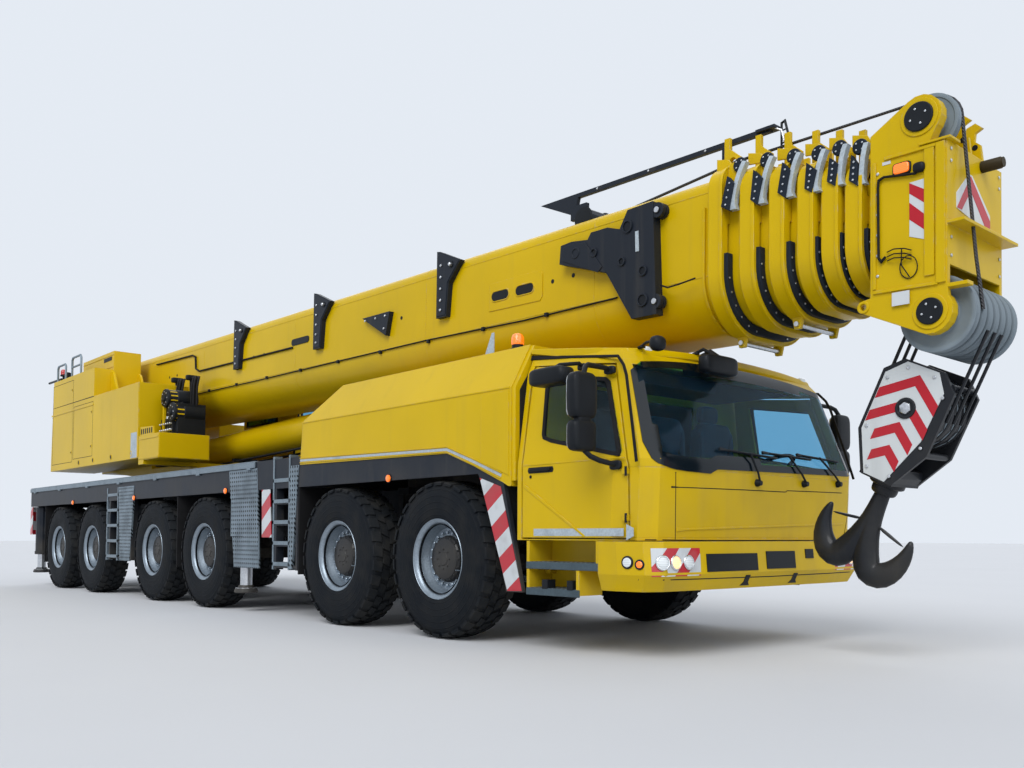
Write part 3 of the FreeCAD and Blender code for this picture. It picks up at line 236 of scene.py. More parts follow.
def painted(name, colour, rough, rounding, dust, coat):
    """Sprayed paint: gentle unevenness, road dust low down, rain streaks and worn edges."""
    made = Finish(name, Coat_Weight=coat, Coat_Roughness=0.12, Specular_IOR_Level=0.16)
    cloud = made.noise(0.9, 4)
    streak = made.noise(1.0, 5, (9, 9, 0.6))
    grime = (1 - made.z.clip(0.35, 1.9)) * made.noise(2.2, 6).clip(0.38, 0.72) * dust
    grime = grime + streak.clip(0.56, 0.78) * (dust * 0.35)
    base = made.mix(cloud.clip(0.3, 0.7), shade(colour, 0.92), shade(colour, 1.06))
    edge = made.node("ShaderNodeBevel", {"samples": 4}, {"Radius": rounding * 1.5})
    flat = made.node("ShaderNodeNewGeometry", {}, {}, "Normal")
    turn = made.node("ShaderNodeVectorMath", {"operation": "DOT_PRODUCT"}, {0: edge, 1: flat},
                     "Value")
    worn = (1 - turn).clip(0.02, 0.12) * made.noise(14, 5).clip(0.5, 0.7) * 0.5
    base = made.mix(worn, base, shade((max(colour) * 1.2 + 0.05,) * 3, 0.5))
    made.feed("Base Color", made.mix(grime.clip(0, 1), base, (0.13, 0.115, 0.09)))
    made.feed("Roughness", rough + cloud * 0.08 + grime * 0.45)
    made.relief(made.noise(160, 2) * 0.25 + made.noise(5, 2) * 2, 0.0012, rounding)
    return made.material


def striped(name, red, pitch, slant_y, slant_z, slant_x=0.0, chevron=None):
    """Reflective warning stripes; a chevron folds them at one height."""
    made = Finish(name, Coat_Weight=0.4)
    z = made.z if chevron is None else abs(made.z - chevron)
    across = (made.x * slant_x + made.y * slant_y + z * slant_z) / pitch
    bands = (across % 1.0) > 0.5
    cells = made.node("ShaderNodeTexVoronoi", {}, {"Vector": made.place, "Scale": 300.0})
    soil = made.noise(6, 5).clip(0.5, 0.8) * 0.35
    plain = made.mix(bands, (0.55, 0.58, 0.60), tuple(red))
    made.feed("Base Color", made.mix(soil, plain, (0.12, 0.11, 0.09)))
    made.feed("Roughness", 0.28 + soil)
    made.relief(cells, 0.0004)
    return made.material


def metal(name, colour, rough, metallic, rounding=0.003):
    """Bare or galvanised steel with spangle, stains and a fine bumpy grain."""
    made = Finish(name, Metallic=metallic)
    spangle = made.node("ShaderNodeTexVoronoi", {}, {"Vector": made.place, "Scale": 55.0})
    stain = made.noise(7, 6)
    tone = made.mix(spangle, shade(colour, 0.85), shade(colour, 1.15))
    made.feed("Base Color", made.mix(stain.clip(0.5, 0.8) * 0.5, tone, shade(colour, 0.45)))
    made.feed("Roughness", rough + stain * 0.2)
    made.relief(made.noise(90, 3), 0.0008, rounding)
    return made.material


def gridded(name, colour):
    """Punched anti-slip sheet: rows of small holes with raised rims; the holes are painted
    near-black, painted shade seen through them.
    """
    made = Finish(name, Metallic=0.6)
    cell_x = abs(((made.x / 0.05) % 1.0) - 0.5)
    cell_z = abs((((made.z + made.y) / 0.05) % 1.0) - 0.5)
    far = made.node("ShaderNodeMath", {"operation": "SQRT"},
                    {0: cell_x * cell_x + cell_z * cell_z})
    hole = far < 0.27
    rim = 1 - abs(far - 0.32).clip(0, 0.09)
    stain = made.noise(5, 5)
    tone = made.mix(stain.clip(0.4, 0.7), shade(colour, 1.1), shade(colour, 0.7))
    # holes painted near-black: painted shade seen through the punched holes
    made.feed("Base Color", made.mix(hole, tone, (0.01, 0.013, 0.017)))
    made.feed("Roughness", 0.42 + stain * 0.2)
    made.relief(rim, 0.004)
    return made.material


def moulded(name, colour, rough, grain=220.0):
    """Grained plastic or rubber."""
    made = Finish(name, Specular_IOR_Level=0.14)
    pale = made.noise(3, 5).clip(0.45, 0.75) * 0.5
    made.feed("Base Color", made.mix(pale, shade(colour, 0.9), shade(colour, 1.7)))
    made.feed("Roughness", rough + pale * 0.2)
    made.relief(made.noise(grain, 2), 0.0008, 0.003)
    return made.material


def tyre_rubber():
    """Dark rubber with rings on the side wall and dust in the tread."""
    made = Finish("tyre_rubber", Specular_IOR_Level=0.1)
    far = made.node("ShaderNodeVectorMath", {"operation": "LENGTH"}, {0: made.node(
        "ShaderNodeCombineXYZ", {}, {"X": made.x, "Z": made.z})}, "Value")
    tread = far.clip(0.655, 0.675)
    mud = made.noise(5, 7).clip(0.42, 0.75)
    base = made.mix(tread * 0.6 + mud * 0.3, (0.006, 0.008, 0.011), (0.020, 0.022, 0.024))
    made.feed("Base Color", made.mix(mud * (0.25 + tread * 0.3), base, (0.045, 0.042, 0.037)))
    made.feed("Roughness", 0.62 + mud * 0.25)
    rings = abs(((far / 0.055) % 1.0) - 0.5).clip(0.4, 0.5) * (1 - tread)
    made.relief(rings * 2 + made.noise(120, 3) * 0.6, 0.002)
    return made.material


def lens(name, colour, glow):
    """Ribbed lamp glass that glows a little."""
    made = Finish(name, Roughness=0.12, Coat_Weight=1.0)
    ribs = abs(((made.z / 0.012) % 1.0) - 0.5)
    lit = made.mix(ribs, shade(colour, 1.1), shade(colour, 0.5))
    made.feed("Base Color", lit)
    made.feed("Emission Color", lit)
    made.shader.inputs["Emission Strength"].default_value = glow
    made.relief(ribs, 0.003)
    return made.material


def glazing(name, tint, clear):
    """Tinted glass with a few wiped smears."""
    made = Finish(name, Base_Color=tint + (1.0,), Transmission_Weight=clear, IOR=1.14)
    made.feed("Roughness", 0.015 + made.noise(1.5, 5, (1, 4, 1)).clip(0.6, 0.9) * 0.08)
    return made.material


def lining(name, colour, rough, shine):
    """Smooth dark coat, as printed on glass or sprayed inside a cab."""
    made = Finish(name, Specular_IOR_Level=shine)
    made.feed("Base Color", made.mix(made.noise(2, 3), colour, shade(colour, 1.6)))
    made.feed("Roughness", rough + made.noise(4, 3) * 0.1)
    return made.material


def rope_steel():
    """Greased wire rope with its strands."""
    made = Finish("rope_steel", Metallic=0.5)
    strand = abs((((made.x + made.z * 0.9 + made.y * 0.4) / 0.02) % 1.0) - 0.5)
    made.feed("Base Color", made.mix(strand * 2, (0.012, 0.012, 0.014), (0.06, 0.06, 0.065)))
    made.feed("Roughness", 0.45 + strand * 0.2)
    made.relief(strand, 0.006)
    return made.material


def woven():
    """Seat cloth."""
    made = Finish("seat_cloth", Sheen_Weight=0.4)
    weave = abs(((made.x / 0.006) % 1.0) - 0.5) + abs((((made.y + made.z) / 0.006) % 1.0) - 0.5)
    made.feed("Base Color", made.mix(weave, (0.012, 0.014, 0.02), (0.035, 0.04, 0.055)))
    made.feed("Roughness", 0.8 + weave * 0.1)
    made.relief(weave, 0.001)
    return made.material


# Mesh building


def turn_of(count):
    """Angles spaced evenly round a full turn."""
    return [2 * math.pi * i / count for i in range(count)]


def quarters(start):
    """Four angles a quarter turn apart, the first in degrees."""
    return [math.radians(start + 90 * k) for k in range(4)]


def on_circle(axis, centre, radius, angle):
    """Spot on a circle round an axis of the drawing frame."""
    spot = list(centre)
    across = [i for i in range(3) if i != "XYZ".index(axis)]
    spot[across[0]] += radius * math.cos(angle)
    spot[across[1]] += radius * math.sin(angle)
    return spot


class Form:
    """Faces gathered into one piece, in millimetres in one of the crane's frames."""

    def __init__(self, place=CHASSIS):
        self.mesh = bmesh.new()
        self.place = place

    def ring(self, points):
        return [self.mesh.verts.new(point) for point in points]

    def skin(self, rings, closed=True):
        """Faces between rings of corners, with end faces."""
        for first, second in zip(rings, rings[1:]):
            count = len(first)
            for i in range(count):
                j = (i + 1) % count
                self.mesh.faces.new((first[i], first[j], second[j], second[i]))
        if closed:
            self.mesh.faces.new(rings[0])
            self.mesh.faces.new(rings[-1])
        return self

    def prism(self, plane, points, start, end):
        order = {"XY": (0, 1, 2), "XZ": (0, 2, 1), "YZ": (1, 2, 0)}[plane]
        rings = []
        for level in (start, end):
            corners = []
            for u, v in points:
                spot = [0.0, 0.0, 0.0]
                spot[order[0]], spot[order[1]], spot[order[2]] = u, v, level
                corners.append(spot)
            rings.append(self.ring(corners))
        return self.skin(rings)

    def block(self, x0, x1, y0, y1, z0, z1):
        return self.prism("XY", [(x0, y0), (x1, y0), (x1, y1), (x0, y1)], z0, z1)

    def turned(self, axis, centre, profile, sides=32, closed=True):
        """Rings at (distance along the axis, radius) from a centre."""
        rings = []
        for along, radius in profile:
            middle = list(centre)
            middle["XYZ".index(axis)] += along
            rings.append(self.ring([on_circle(axis, middle, radius, angle)
                                    for angle in turn_of(sides)]))
        return self.skin(rings, closed)

    def pipe(self, points, radius, sides=10):
        """A bent bar through points, mitred at its bends."""
        path = [Vector(point) for point in points]
        steps = [(b - a).normalized() for a, b in zip(path, path[1:])]
        normal = steps[0].orthogonal().normalized()
        rings = []
        for i, spot in enumerate(path):
            before = steps[max(i - 1, 0)]
            after = steps[min(i, len(steps) - 1)]
            along = (before + after).normalized()
            normal = (normal - along * normal.dot(along)).normalized()
            side = along.cross(normal)
            wide = 1 / max(0.5, math.cos(before.angle(after) / 2))
            rings.append(self.ring([spot + (normal * math.cos(t) + side * math.sin(t)) * radius
                                    * (wide if 0 < i < len(path) - 1 else 1)
                                    for t in turn_of(sides)]))
        return self.skin(rings)

    def bolts(self, spots, axis, radius, height, sides=6):
        """Hexagon heads, or round ones with more sides."""
        for spot in spots:
            self.turned(axis, spot, [(0, radius), (height * 0.8, radius), (height, radius * 0.8)],
                        sides)
        return self

    def bolt_circle(self, axis, centre, circle, angles, radius, height):
        """Bolt heads on a circle round a centre."""
        self.bolts([on_circle(axis, centre, circle, angle) for angle in angles],
                   axis, radius, height)

    def ribbon(self, path, normals, width, high, low=-4.0, closed=False):
        """A flat strip laid along a path on a surface, standing a height above it."""
        spots = [Vector(spot) for spot in path]
        if isinstance(normals[0], (int, float)):
            normals = [normals] * len(spots)
        rings = []
        last = len(spots) - 1
        for i, spot in enumerate(spots):
            before = spots[i - 1] if i or closed else spot
            after = spots[(i + 1) % (last + 1)] if i < last or closed else spot
            first = (spot - before).normalized() or (after - spot).normalized()
            second = (after - spot).normalized() or first
            along = (first + second).normalized()
            normal = Vector(normals[i]).normalized()
            across = normal.cross(along).normalized()
            reach = width / 2 / max(0.5, along.dot(first))
            rings.append(self.ring([spot + across * reach + normal * low,
                                    spot + across * reach + normal * high,
                                    spot - across * reach + normal * high,
                                    spot - across * reach + normal * low]))
        if closed:
            rings.append(rings[0])
        return self.skin(rings, not closed)

    def plate(self, corners, thick):
        """A flat plate with any corners, carried by a thickness vector."""
        far = [Vector(corner) + Vector(thick) for corner in corners]
        return self.skin([self.ring(corners), self.ring(far)])

    def lump(self, centre, half, square=4.0, pull=0.0, rings=12, sides=24, cuts=()):
        """A rounded closed form: high powers are squarer, and its sides pull in a little.

        Cuts are sewn channels: a share of the half length across X, and their depth."""
        rows = []
        for j in range(1, rings):
            level = -math.cos(math.pi * j / rings)
            z = math.copysign(abs(level) ** (2 / square), level)
            wide = (1 - abs(level) ** 2) ** (1 / square)
            row = []
            for i in range(sides):
                angle = 2 * math.pi * i / sides
                u = math.copysign(abs(math.cos(angle)) ** (2 / square), math.cos(angle))
                v = math.copysign(abs(math.sin(angle)) ** (2 / square), math.sin(angle))
                u, v = u * (1 - pull * (1 - v * v)) * wide, v * (1 - pull * (1 - u * u)) * wide
                depth = sum(deep * math.exp(-((u - at) * 14) ** 2) for at, deep in cuts)
                row.append((centre[0] + half[0] * u, centre[1] + half[1] * v,
                            centre[2] + half[2] * z - (depth if z > 0.2 else 0)))
            rows.append(self.ring(row))
        return self.skin(rows)

    def tilted(self, pivot, axis, degrees):
        """Turn everything made so far about a point."""
        turn = Matrix.Rotation(math.radians(degrees), 4, axis)
        here = Matrix.Translation(pivot)
        self.mesh.transform(here @ turn @ here.inverted())
        return self

    def stud(self, spot, normal, profile, sides=24):
        """Rings at (distance, radius) along any direction from a spot."""
        normal = Vector(normal).normalized()
        across = normal.orthogonal().normalized()
        other = normal.cross(across)
        rings = []
        for far, radius in profile:
            rings.append(self.ring([Vector(spot) + normal * far
                                    + (across * math.cos(t) + other * math.sin(t)) * radius
                                    for t in turn_of(sides)]))
        return self.skin(rings)

    def shaded(self, name, sharp=True):
        """The mesh, smooth but for its sharp edges; no more faces can be added."""
        bmesh.ops.recalc_face_normals(self.mesh, faces=self.mesh.faces)
        for face in self.mesh.faces:
            face.smooth = True
        if sharp:
            for line in self.mesh.edges:
                line.smooth = line.calc_face_angle(0) < SHARP
        self.mesh.transform(self.place)
        mesh = bpy.data.meshes.new(name)
        self.mesh.to_mesh(mesh)
        self.mesh.free()
        return mesh

    def done(self, name, body, finish, slot, edge=0.0, replaces=(), segments=2):
        """Finish the piece; its edges are rounded by a width in millimetres."""
        mesh = self.shaded(name, not edge)
        return settle(bpy.data.objects.new(name, mesh), body, finish, edge, replaces,
                      segments)


def settle(piece, body, finish, edge=0.0, replaces=(), segments=2):
    """Give a piece its finish, its rounded edges and the body that it rides on."""
    bpy.context.scene.collection.objects.link(piece)
    if not piece.data.materials:
        piece.data.materials.append(FINISHES[finish])
    if edge:
        rounded = piece.modifiers.new("Rounded edges", "BEVEL")
        rounded.width = edge / 1000
        rounded.segments = segments
        rounded.limit_method = "ANGLE"
        rounded.angle_limit = SHARP
        rounded.harden_normals = True
    if body:
        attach(piece, body)
    if replaces:
        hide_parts(*replaces)
    return piece


def offset_line(points, reach):
    """A polyline in a plane moved sideways by a distance, mitred at its bends."""
    moved = []
    last = len(points) - 1
    for i, (u, v) in enumerate(points):
        here = Vector((u, v))
        before = (here - Vector(points[i - 1])).normalized() if i else None
        after = (Vector(points[i + 1]) - here).normalized() if i < last else before
        before = before or after
        along = (before + after).normalized()
        far = reach / max(0.4, along.dot(before))
        moved.append((u - along.y * far, v + along.x * far))
    return moved


def band(points, near, far):
    """Outline of a strip between two distances from a polyline."""
    return offset_line(points, near) + offset_line(points, far)[::-1]


# Skins of the cab and of its bumper, in millimetres: height, half width, front face
CAB_LEVELS = [(860, 1480, 2330), (1440, 1480, 2360), (2190, 1370, 2110), (2270, 1330, 2050),
              (2460, 1270, 1950)]
BUMPER_LEVELS = [(500, 1450, 2350), (620, 1490, 2410), (855, 1490, 2390)]
# across the nose from its middle: shortfall of the half width, and of the front face
NOSE_BENDS = [(1e9, 0), (600, 0), (190, 20), (50, 90), (0, 300), (0, 900)]


def interpolate(table, value):
    for first, second in zip(table, table[1:]):
        if value <= second[0]:
            break
    share = (value - first[0]) / (second[0] - first[0])
    return [a + (b - a) * share for a, b in zip(first[1:], second[1:])]


def nose_x(levels, y, z):
    """Front skin's X at a width and a height."""
    half, front = interpolate(levels, z)
    wide = min(abs(y), half)
    for (out0, back0), (out1, back1) in zip(NOSE_BENDS, NOSE_BENDS[1:]):
        y0, y1 = max(0, half - out0), half - out1
        if wide <= y1 and y1 > y0:
            return front - back0 - (back1 - back0) * (wide - y0) / (y1 - y0)
    return front - 300


def on_nose(levels, y, z, proud=0.0):
    """Spot on the front skin and the direction away from it."""
    x = nose_x(levels, y, z)
    across = (nose_x(levels, y + 20, z) - nose_x(levels, y - 20, z)) / 40
    rise = (nose_x(levels, y, z + 10) - nose_x(levels, y, z - 10)) / 20
    normal = Vector((1, -across, -rise)).normalized()
    return Vector((x, y, z)) + normal * proud, normal


def on_side(x, z, side, proud=0.0):
    """Spot on the cab's side skin."""
    half = interpolate(CAB_LEVELS, z)[0]
    rise = (interpolate(CAB_LEVELS, z + 5)[0] - interpolate(CAB_LEVELS, z - 5)[0]) / 10
    normal = Vector((0, side, -rise)).normalized()
    return Vector((x, side * half, z)) + normal * proud, normal


def traced(spots):
    """Split (spot, direction) pairs into a path and its directions."""
    return [spot for spot, normal in spots], [normal for spot, normal in spots]


def section_path(number, grow):
    """Half of a boom section's outline, from the top's middle down its right side."""
    half, top = 560 - 38 * number + grow, 935 - 38 * number + grow
    low, corner = 38 * number - 235 - grow, 110 + grow
    belly = 400 - 30.4 * number + grow
    path = [(0, top), (half - corner, top)]
    path += [(half - corner + corner * math.sin(a), top - corner + corner * math.cos(a))
             for a in [math.radians(k * 15) for k in range(1, 7)]]
    path += [(half, z) for z in (700 - 38 * number, 420, 300) if low + belly < z < top - corner]
    path += [(half - belly + belly * math.cos(a), low + belly - belly * math.sin(a))
             for a in [math.radians(k * 7.5) for k in range(13)]]
    return path + [(0, low)]


def hoop(form, number, inner, outer, u0, u1, high, low, side=-1):
    """Part of a ring round a boom section, between two heights."""
    rings = []
    for (yi, zi), (yo, zo) in zip(section_path(number, inner), section_path(number, outer)):
        if low <= zi <= high:
            rings.append(form.ring([(u0, side * yi, zi), (u0, side * yo, zo),
                                    (u1, side * yo, zo), (u1, side * yi, zi)]))
    return form.skin(rings)


# Operators


class CRANE_OT_stage(bpy.types.Operator):
    """Floor, soft light and the camera"""
    bl_idname = "crane.stage"
    bl_label = "Stage"

    def execute(self, context):
        floor = Form(MILLIMETRES)
        floor.mesh.faces.new(floor.ring([(-150000, -150000, 0), (150000, -150000, 0),
                                         (150000, 150000, 0), (-150000, 150000, 0)]))
        mesh = bpy.data.meshes.new("floor")
        floor.mesh.transform(MILLIMETRES)
        floor.mesh.to_mesh(mesh)
        floor.mesh.free()
        ground = bpy.data.objects.new("floor", mesh)
        context.scene.collection.objects.link(ground)
        pale = Finish("floor_pale", Roughness=0.9)
        pale.feed("Base Color", pale.mix(pale.noise(0.4, 3), (0.60, 0.61, 0.63),
                                         (0.64, 0.65, 0.67)))
        mesh.materials.append(pale.material)
        world = bpy.data.worlds.new("soft_sky")
        world.use_nodes = True
        context.scene.world = world
        nodes, links = world.node_tree.nodes, world.node_tree.links
        sky = nodes["Background"]
        sky.inputs["Color"].default_value = (0.80, 0.88, 1.0, 1.0)
        sky.inputs["Strength"].default_value = 0.5
        shown = nodes.new("ShaderNodeBackground")
        shown.inputs["Color"].default_value = (0.78, 0.83, 0.90, 1.0)
        path = nodes.new("ShaderNodeLightPath")
        # the backdrop shows to the camera, through glass and in reflections
        seen = path.outputs["Is Camera Ray"]
        for ray in ("Is Transmission Ray", "Is Glossy Ray"):
            either = nodes.new("ShaderNodeMath")
            either.operation = "MAXIMUM"
            links.new(seen, either.inputs[0])
            links.new(path.outputs[ray], either.inputs[1])
            seen = either.outputs[0]
        blend = nodes.new("ShaderNodeMixShader")
        links.new(seen, blend.inputs[0])
        links.new(sky.outputs[0], blend.inputs[1])
        links.new(shown.outputs[0], blend.inputs[2])
        links.new(blend.outputs[0], nodes["World Output"].inputs["Surface"])
        # name, strength, angle, direction that the light travels
        for name, strength, spread, toward in (
                ("key_sun", 2.0, 35, (-0.35, 0.75, -0.75)),
                ("front_sun", 0.9, 60, (-0.95, 0.1, -0.4)),
                ("back_sun", 0.6, 60, (0.5, -0.6, -0.6))):
            lamp = bpy.data.lights.new(name, "SUN")
            lamp.energy = strength
            lamp.angle = math.radians(spread)
            holder = bpy.data.objects.new(name, lamp)
            holder.rotation_euler = Vector(toward).to_track_quat("-Z", "Y").to_euler()
            context.scene.collection.objects.link(holder)
        lens_data = bpy.data.cameras.new("camera")
        lens_data.sensor_fit = "HORIZONTAL"
        lens_data.sensor_width = 36
        wide, high = 1024, 768
        focal, centre_x, centre_y = 955.37, 518.5, 492.7
        lens_data.lens = focal / wide * 36
        lens_data.shift_x = (wide / 2 - centre_x) / wide
        lens_data.shift_y = (centre_y - high / 2) / wide
        lens_data.clip_end = 500
        yaw, pitch, roll = 2.4097, 0.0459, 0.0028
        forward = Vector((math.cos(yaw) * math.cos(pitch), math.sin(yaw) * math.cos(pitch),
                          math.sin(pitch)))
        right = Vector((math.sin(yaw), -math.cos(yaw), 0))
        up = right.cross(forward)
        turned_right = right * math.cos(roll) + up * math.sin(roll)
        turned_up = up * math.cos(roll) - right * math.sin(roll)
        camera = bpy.data.objects.new("camera", lens_data)
        turn = Matrix((turned_right, turned_up, -forward)).transposed().to_4x4()
        spot = CHASSIS @ Vector((6667, -6524, 887))
        camera.matrix_world = Matrix.Translation(spot) @ turn
        context.scene.collection.objects.link(camera)
        context.scene.camera = camera
        context.scene.view_settings.view_transform = "Standard"
        return {"FINISHED"}


class CRANE_OT_finishes(bpy.types.Operator):
    """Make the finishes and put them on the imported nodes"""
    bl_idname = "crane.finishes"
    bl_label = "Finishes"

    def execute(self, context):
        paint = context.scene.crane_paint
        pitch = context.scene.crane_sizes.stripe_pitch
        FINISHES.update(
            yellow=painted("crane_yellow", paint.yellow, 0.30, 0.008, 0.22, 0.07),
            lower=painted("lower_works", paint.lower, 0.42, 0.006, 0.5, 0.1),
            iron=painted("axle_iron", (0.016, 0.017, 0.02), 0.6, 0.006, 0.9, 0.0),
            steel=metal("step_steel", paint.steel, 0.38, 0.55),
            lining=lining("cab_lining", (0.012, 0.014, 0.016), 0.7, 0.1),
            step=metal("step_paint", (0.06, 0.09, 0.11), 0.4, 0.4),
            rim=metal("rim_steel", (0.26, 0.31, 0.36), 0.3, 0.65),
            bright=metal("bright_steel", (0.55, 0.57, 0.6), 0.2, 0.9),
            chrome=metal("rod_chrome", (0.72, 0.74, 0.76), 0.1, 1.0),
            grid=gridded("grid_sheet", paint.steel),
            stripe_side=striped("stripes_side", paint.red, pitch, 0.0, 0.8, -0.6),
            stripe_face=striped("stripes_face", paint.red, 0.19, -0.75, 0.7),
            stripe_red=painted("stripe_red", paint.red, 0.3, 0.001, 0.3, 0.4),
            reflector_white=painted("plate_white", (0.60, 0.63, 0.64), 0.32, 0.001, 0.35, 0.4),
            reflector=metal("reflective_tape", (0.42, 0.48, 0.52), 0.35, 0.3, 0.001),
            black=moulded("black_plastic", (0.010, 0.012, 0.015), 0.38),
            rubber=moulded("black_rubber", (0.012, 0.012, 0.013), 0.7),
            pad=moulded("wear_pad_steel", (0.012, 0.018, 0.028), 0.45, 60.0),
            trim=moulded("cab_trim", (0.02, 0.022, 0.026), 0.6),
            sheave=moulded("sheave_plastic", (0.19, 0.23, 0.26), 0.45, 30.0),
            hook=painted("hook_black", (0.010, 0.012, 0.016), 0.4, 0.008, 0.3, 0.2),
            roller=moulded("brown_roller", (0.035, 0.026, 0.012), 0.45),
            tyre=tyre_rubber(), cloth=woven(), rope=rope_steel(),
            clear_lens=lens("clear_lens", (0.62, 0.66, 0.68), 0.15),
            lit_lens=lens("lit_lens", (1.0, 0.62, 0.30), 0.9),
            amber=lens("amber_lens", (0.9, 0.16, 0.005), 0.9),
            red_lens=lens("red_lens", (0.5, 0.01, 0.01), 0.3),
            glass=glazing("cab_glass", (0.24, 0.55, 0.78), 0.99),
            door_glass=glazing("door_glass", (0.58, 0.74, 0.80), 0.985),
            dark_glass=lining("glass_border", (0.001, 0.004, 0.007), 0.12, 0.3),
        )
        finish_of = {"axles": "iron", "engine": "iron", "chassis_frame": "lower", "deck": "lower",
                     "jib_brackets": "lower", "hook_block": "hook", "hook": "hook",
                     "winch_drum": "lower", "windscreen": "glass", "cab_interior": "trim",
                     "head_sheaves": "sheave", "lift_rod": "chrome"}
        starts = {"knuckle": "iron", "outrigger_beam": "lower", "outrigger_jack": "bright"}
        for name, node in frame["nodes"].items():
            finish = finish_of.get(name, "yellow")
            for start, other in starts.items():
                if name.startswith(start):
                    finish = other
            node.data.materials.clear()
            node.data.materials.append(FINISHES[finish])
        return {"FINISHED"}


class CRANE_OT_wheels(bpy.types.Operator):
    """Treaded tyres, rims and hubs"""
    bl_idname = "crane.wheels"
    bl_label = "Wheels"

    def tyre(self, sizes):
        made = Form(MILLIMETRES)
        depth = sizes.tread_depth * 1000
        base = 690 - depth
        half = [(-150, 322), (-172, 345), (-187, 400), (-190, 470), (-188, 545), (-178, 605),
                (-166, 640), (-152, base - 4), (-120, base)]
        profile = half + [(-along, radius) for along, radius in reversed(half)]
        made.turned("Y", (0, 0, 0), profile + [(150, 300), (-150, 300)], 96, False)
        pitches = sizes.tread_pitches
        step = 2 * math.pi / pitches
        for k in range(pitches):
            # side, near edge, far edge, start of the block, its length, radius at each edge
            for side in (-1, 1):
                shift = 0.0 if side < 0 else 0.5
                for near, far, start, length, skew, low in (
                        (92, 178, 0.0, 0.70, 0.10, 652), (8, 80, 0.35, 0.66, 0.22, 0)):
                    corners = []
                    for along, bend in ((near, 0.0), (far, skew)):
                        for part in (0.0, 0.5, 1.0):
                            angle = (k + shift + start + bend + part * length) * step
                            corners.append((side * along, angle))
                    order = (0, 1, 2, 5, 4, 3)
                    rings = []
                    for outer in (False, True):
                        ring = []
                        for i in order:
                            along, angle = corners[i]
                            radius = 689 if outer else base - 6
                            if low and i > 2:
                                radius = 672 if outer else low - 8
                                along = along if outer else along + side * 4
                            ring.append((radius * math.cos(angle), along,
                                         radius * math.sin(angle)))
                        rings.append(made.ring(ring))
                    made.skin(rings)
        return self.mesh(made, "tyre", "tyre")

    def mesh(self, made, name, finish):
        """A mesh that all wheels share."""
        mesh = made.shaded(name)
        mesh.materials.append(FINISHES[finish])
        return mesh

    def rim(self, sizes):
        made = Form(MILLIMETRES)
        made.turned("Y", (0, 0, 0), [
            (-150, 316), (-168, 350), (-176, 352), (-176, 344), (-160, 322), (-150, 312),
            (-128, 308), (-124, 300), (-96, 296), (-60, 276), (-44, 270), (-40, 196), (-36, 150),
            (-20, 150), (-20, 270), (20, 292), (150, 292), (168, 350), (176, 350), (176, 340),
            (150, 326), (-140, 326)], 72, False)
        for angle in turn_of(sizes.wheel_nuts):
            made.turned("Y", on_circle("Y", (0, -42, 0), 232, angle),
                        [(2, 19), (-6, 19), (-6, 15), (-26, 15), (-30, 11)], 6)
        made.turned("Y", (0, 0, 0), [(-176, 352), (-181, 348), (-176, 342)], 72, False)
        valve = Matrix.Rotation(0.4, 4, "Y")
        path = [valve @ Vector(spot) for spot in ((285, -60, 0), (250, -90, 0), (235, -140, 0))]
        made.pipe(path, 5, 8)
        return self.mesh(made, "rim", "rim")

    def hub(self):
        made = Form(MILLIMETRES)
        made.turned("Y", (0, 0, 0), [
            (-30, 206), (-52, 206), (-56, 200), (-78, 196), (-84, 186), (-100, 178), (-106, 165),
            (-106, 60), (-112, 56), (-112, 20)], 48)
        for radius, depth, count, size in ((186, -84, 16, 9), (84, -106, 8, 8)):
            for angle in turn_of(count):
                made.turned("Y", on_circle("Y", (0, depth, 0), radius, angle),
                            [(6, size), (-8, size)], 6)
        return self.mesh(made, "hub", "hook")

    def execute(self, context):
        sizes = context.scene.crane_sizes
        tyre, rim, hub = self.tyre(sizes), self.rim(sizes), self.hub()
        for number in range(1, 7):
            for label, side in SIDES:
                name = "wheel_%d_%s" % (number, label)
                low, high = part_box(name)
                for kind, mesh, slot in (("tyre", tyre, "tyre"), ("rim", rim, "steel"),
                                         ("hub", hub, "black")):
                    piece = bpy.data.objects.new("%s_%d_%s" % (kind, number, label), mesh)
                    piece.location = (low + high) / 2
                    if side > 0:
                        piece.rotation_euler = (0, 0, math.pi)
                    settle(piece, name, None)
                    if kind == "tyre":
                        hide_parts(name)
        return {"FINISHED"}


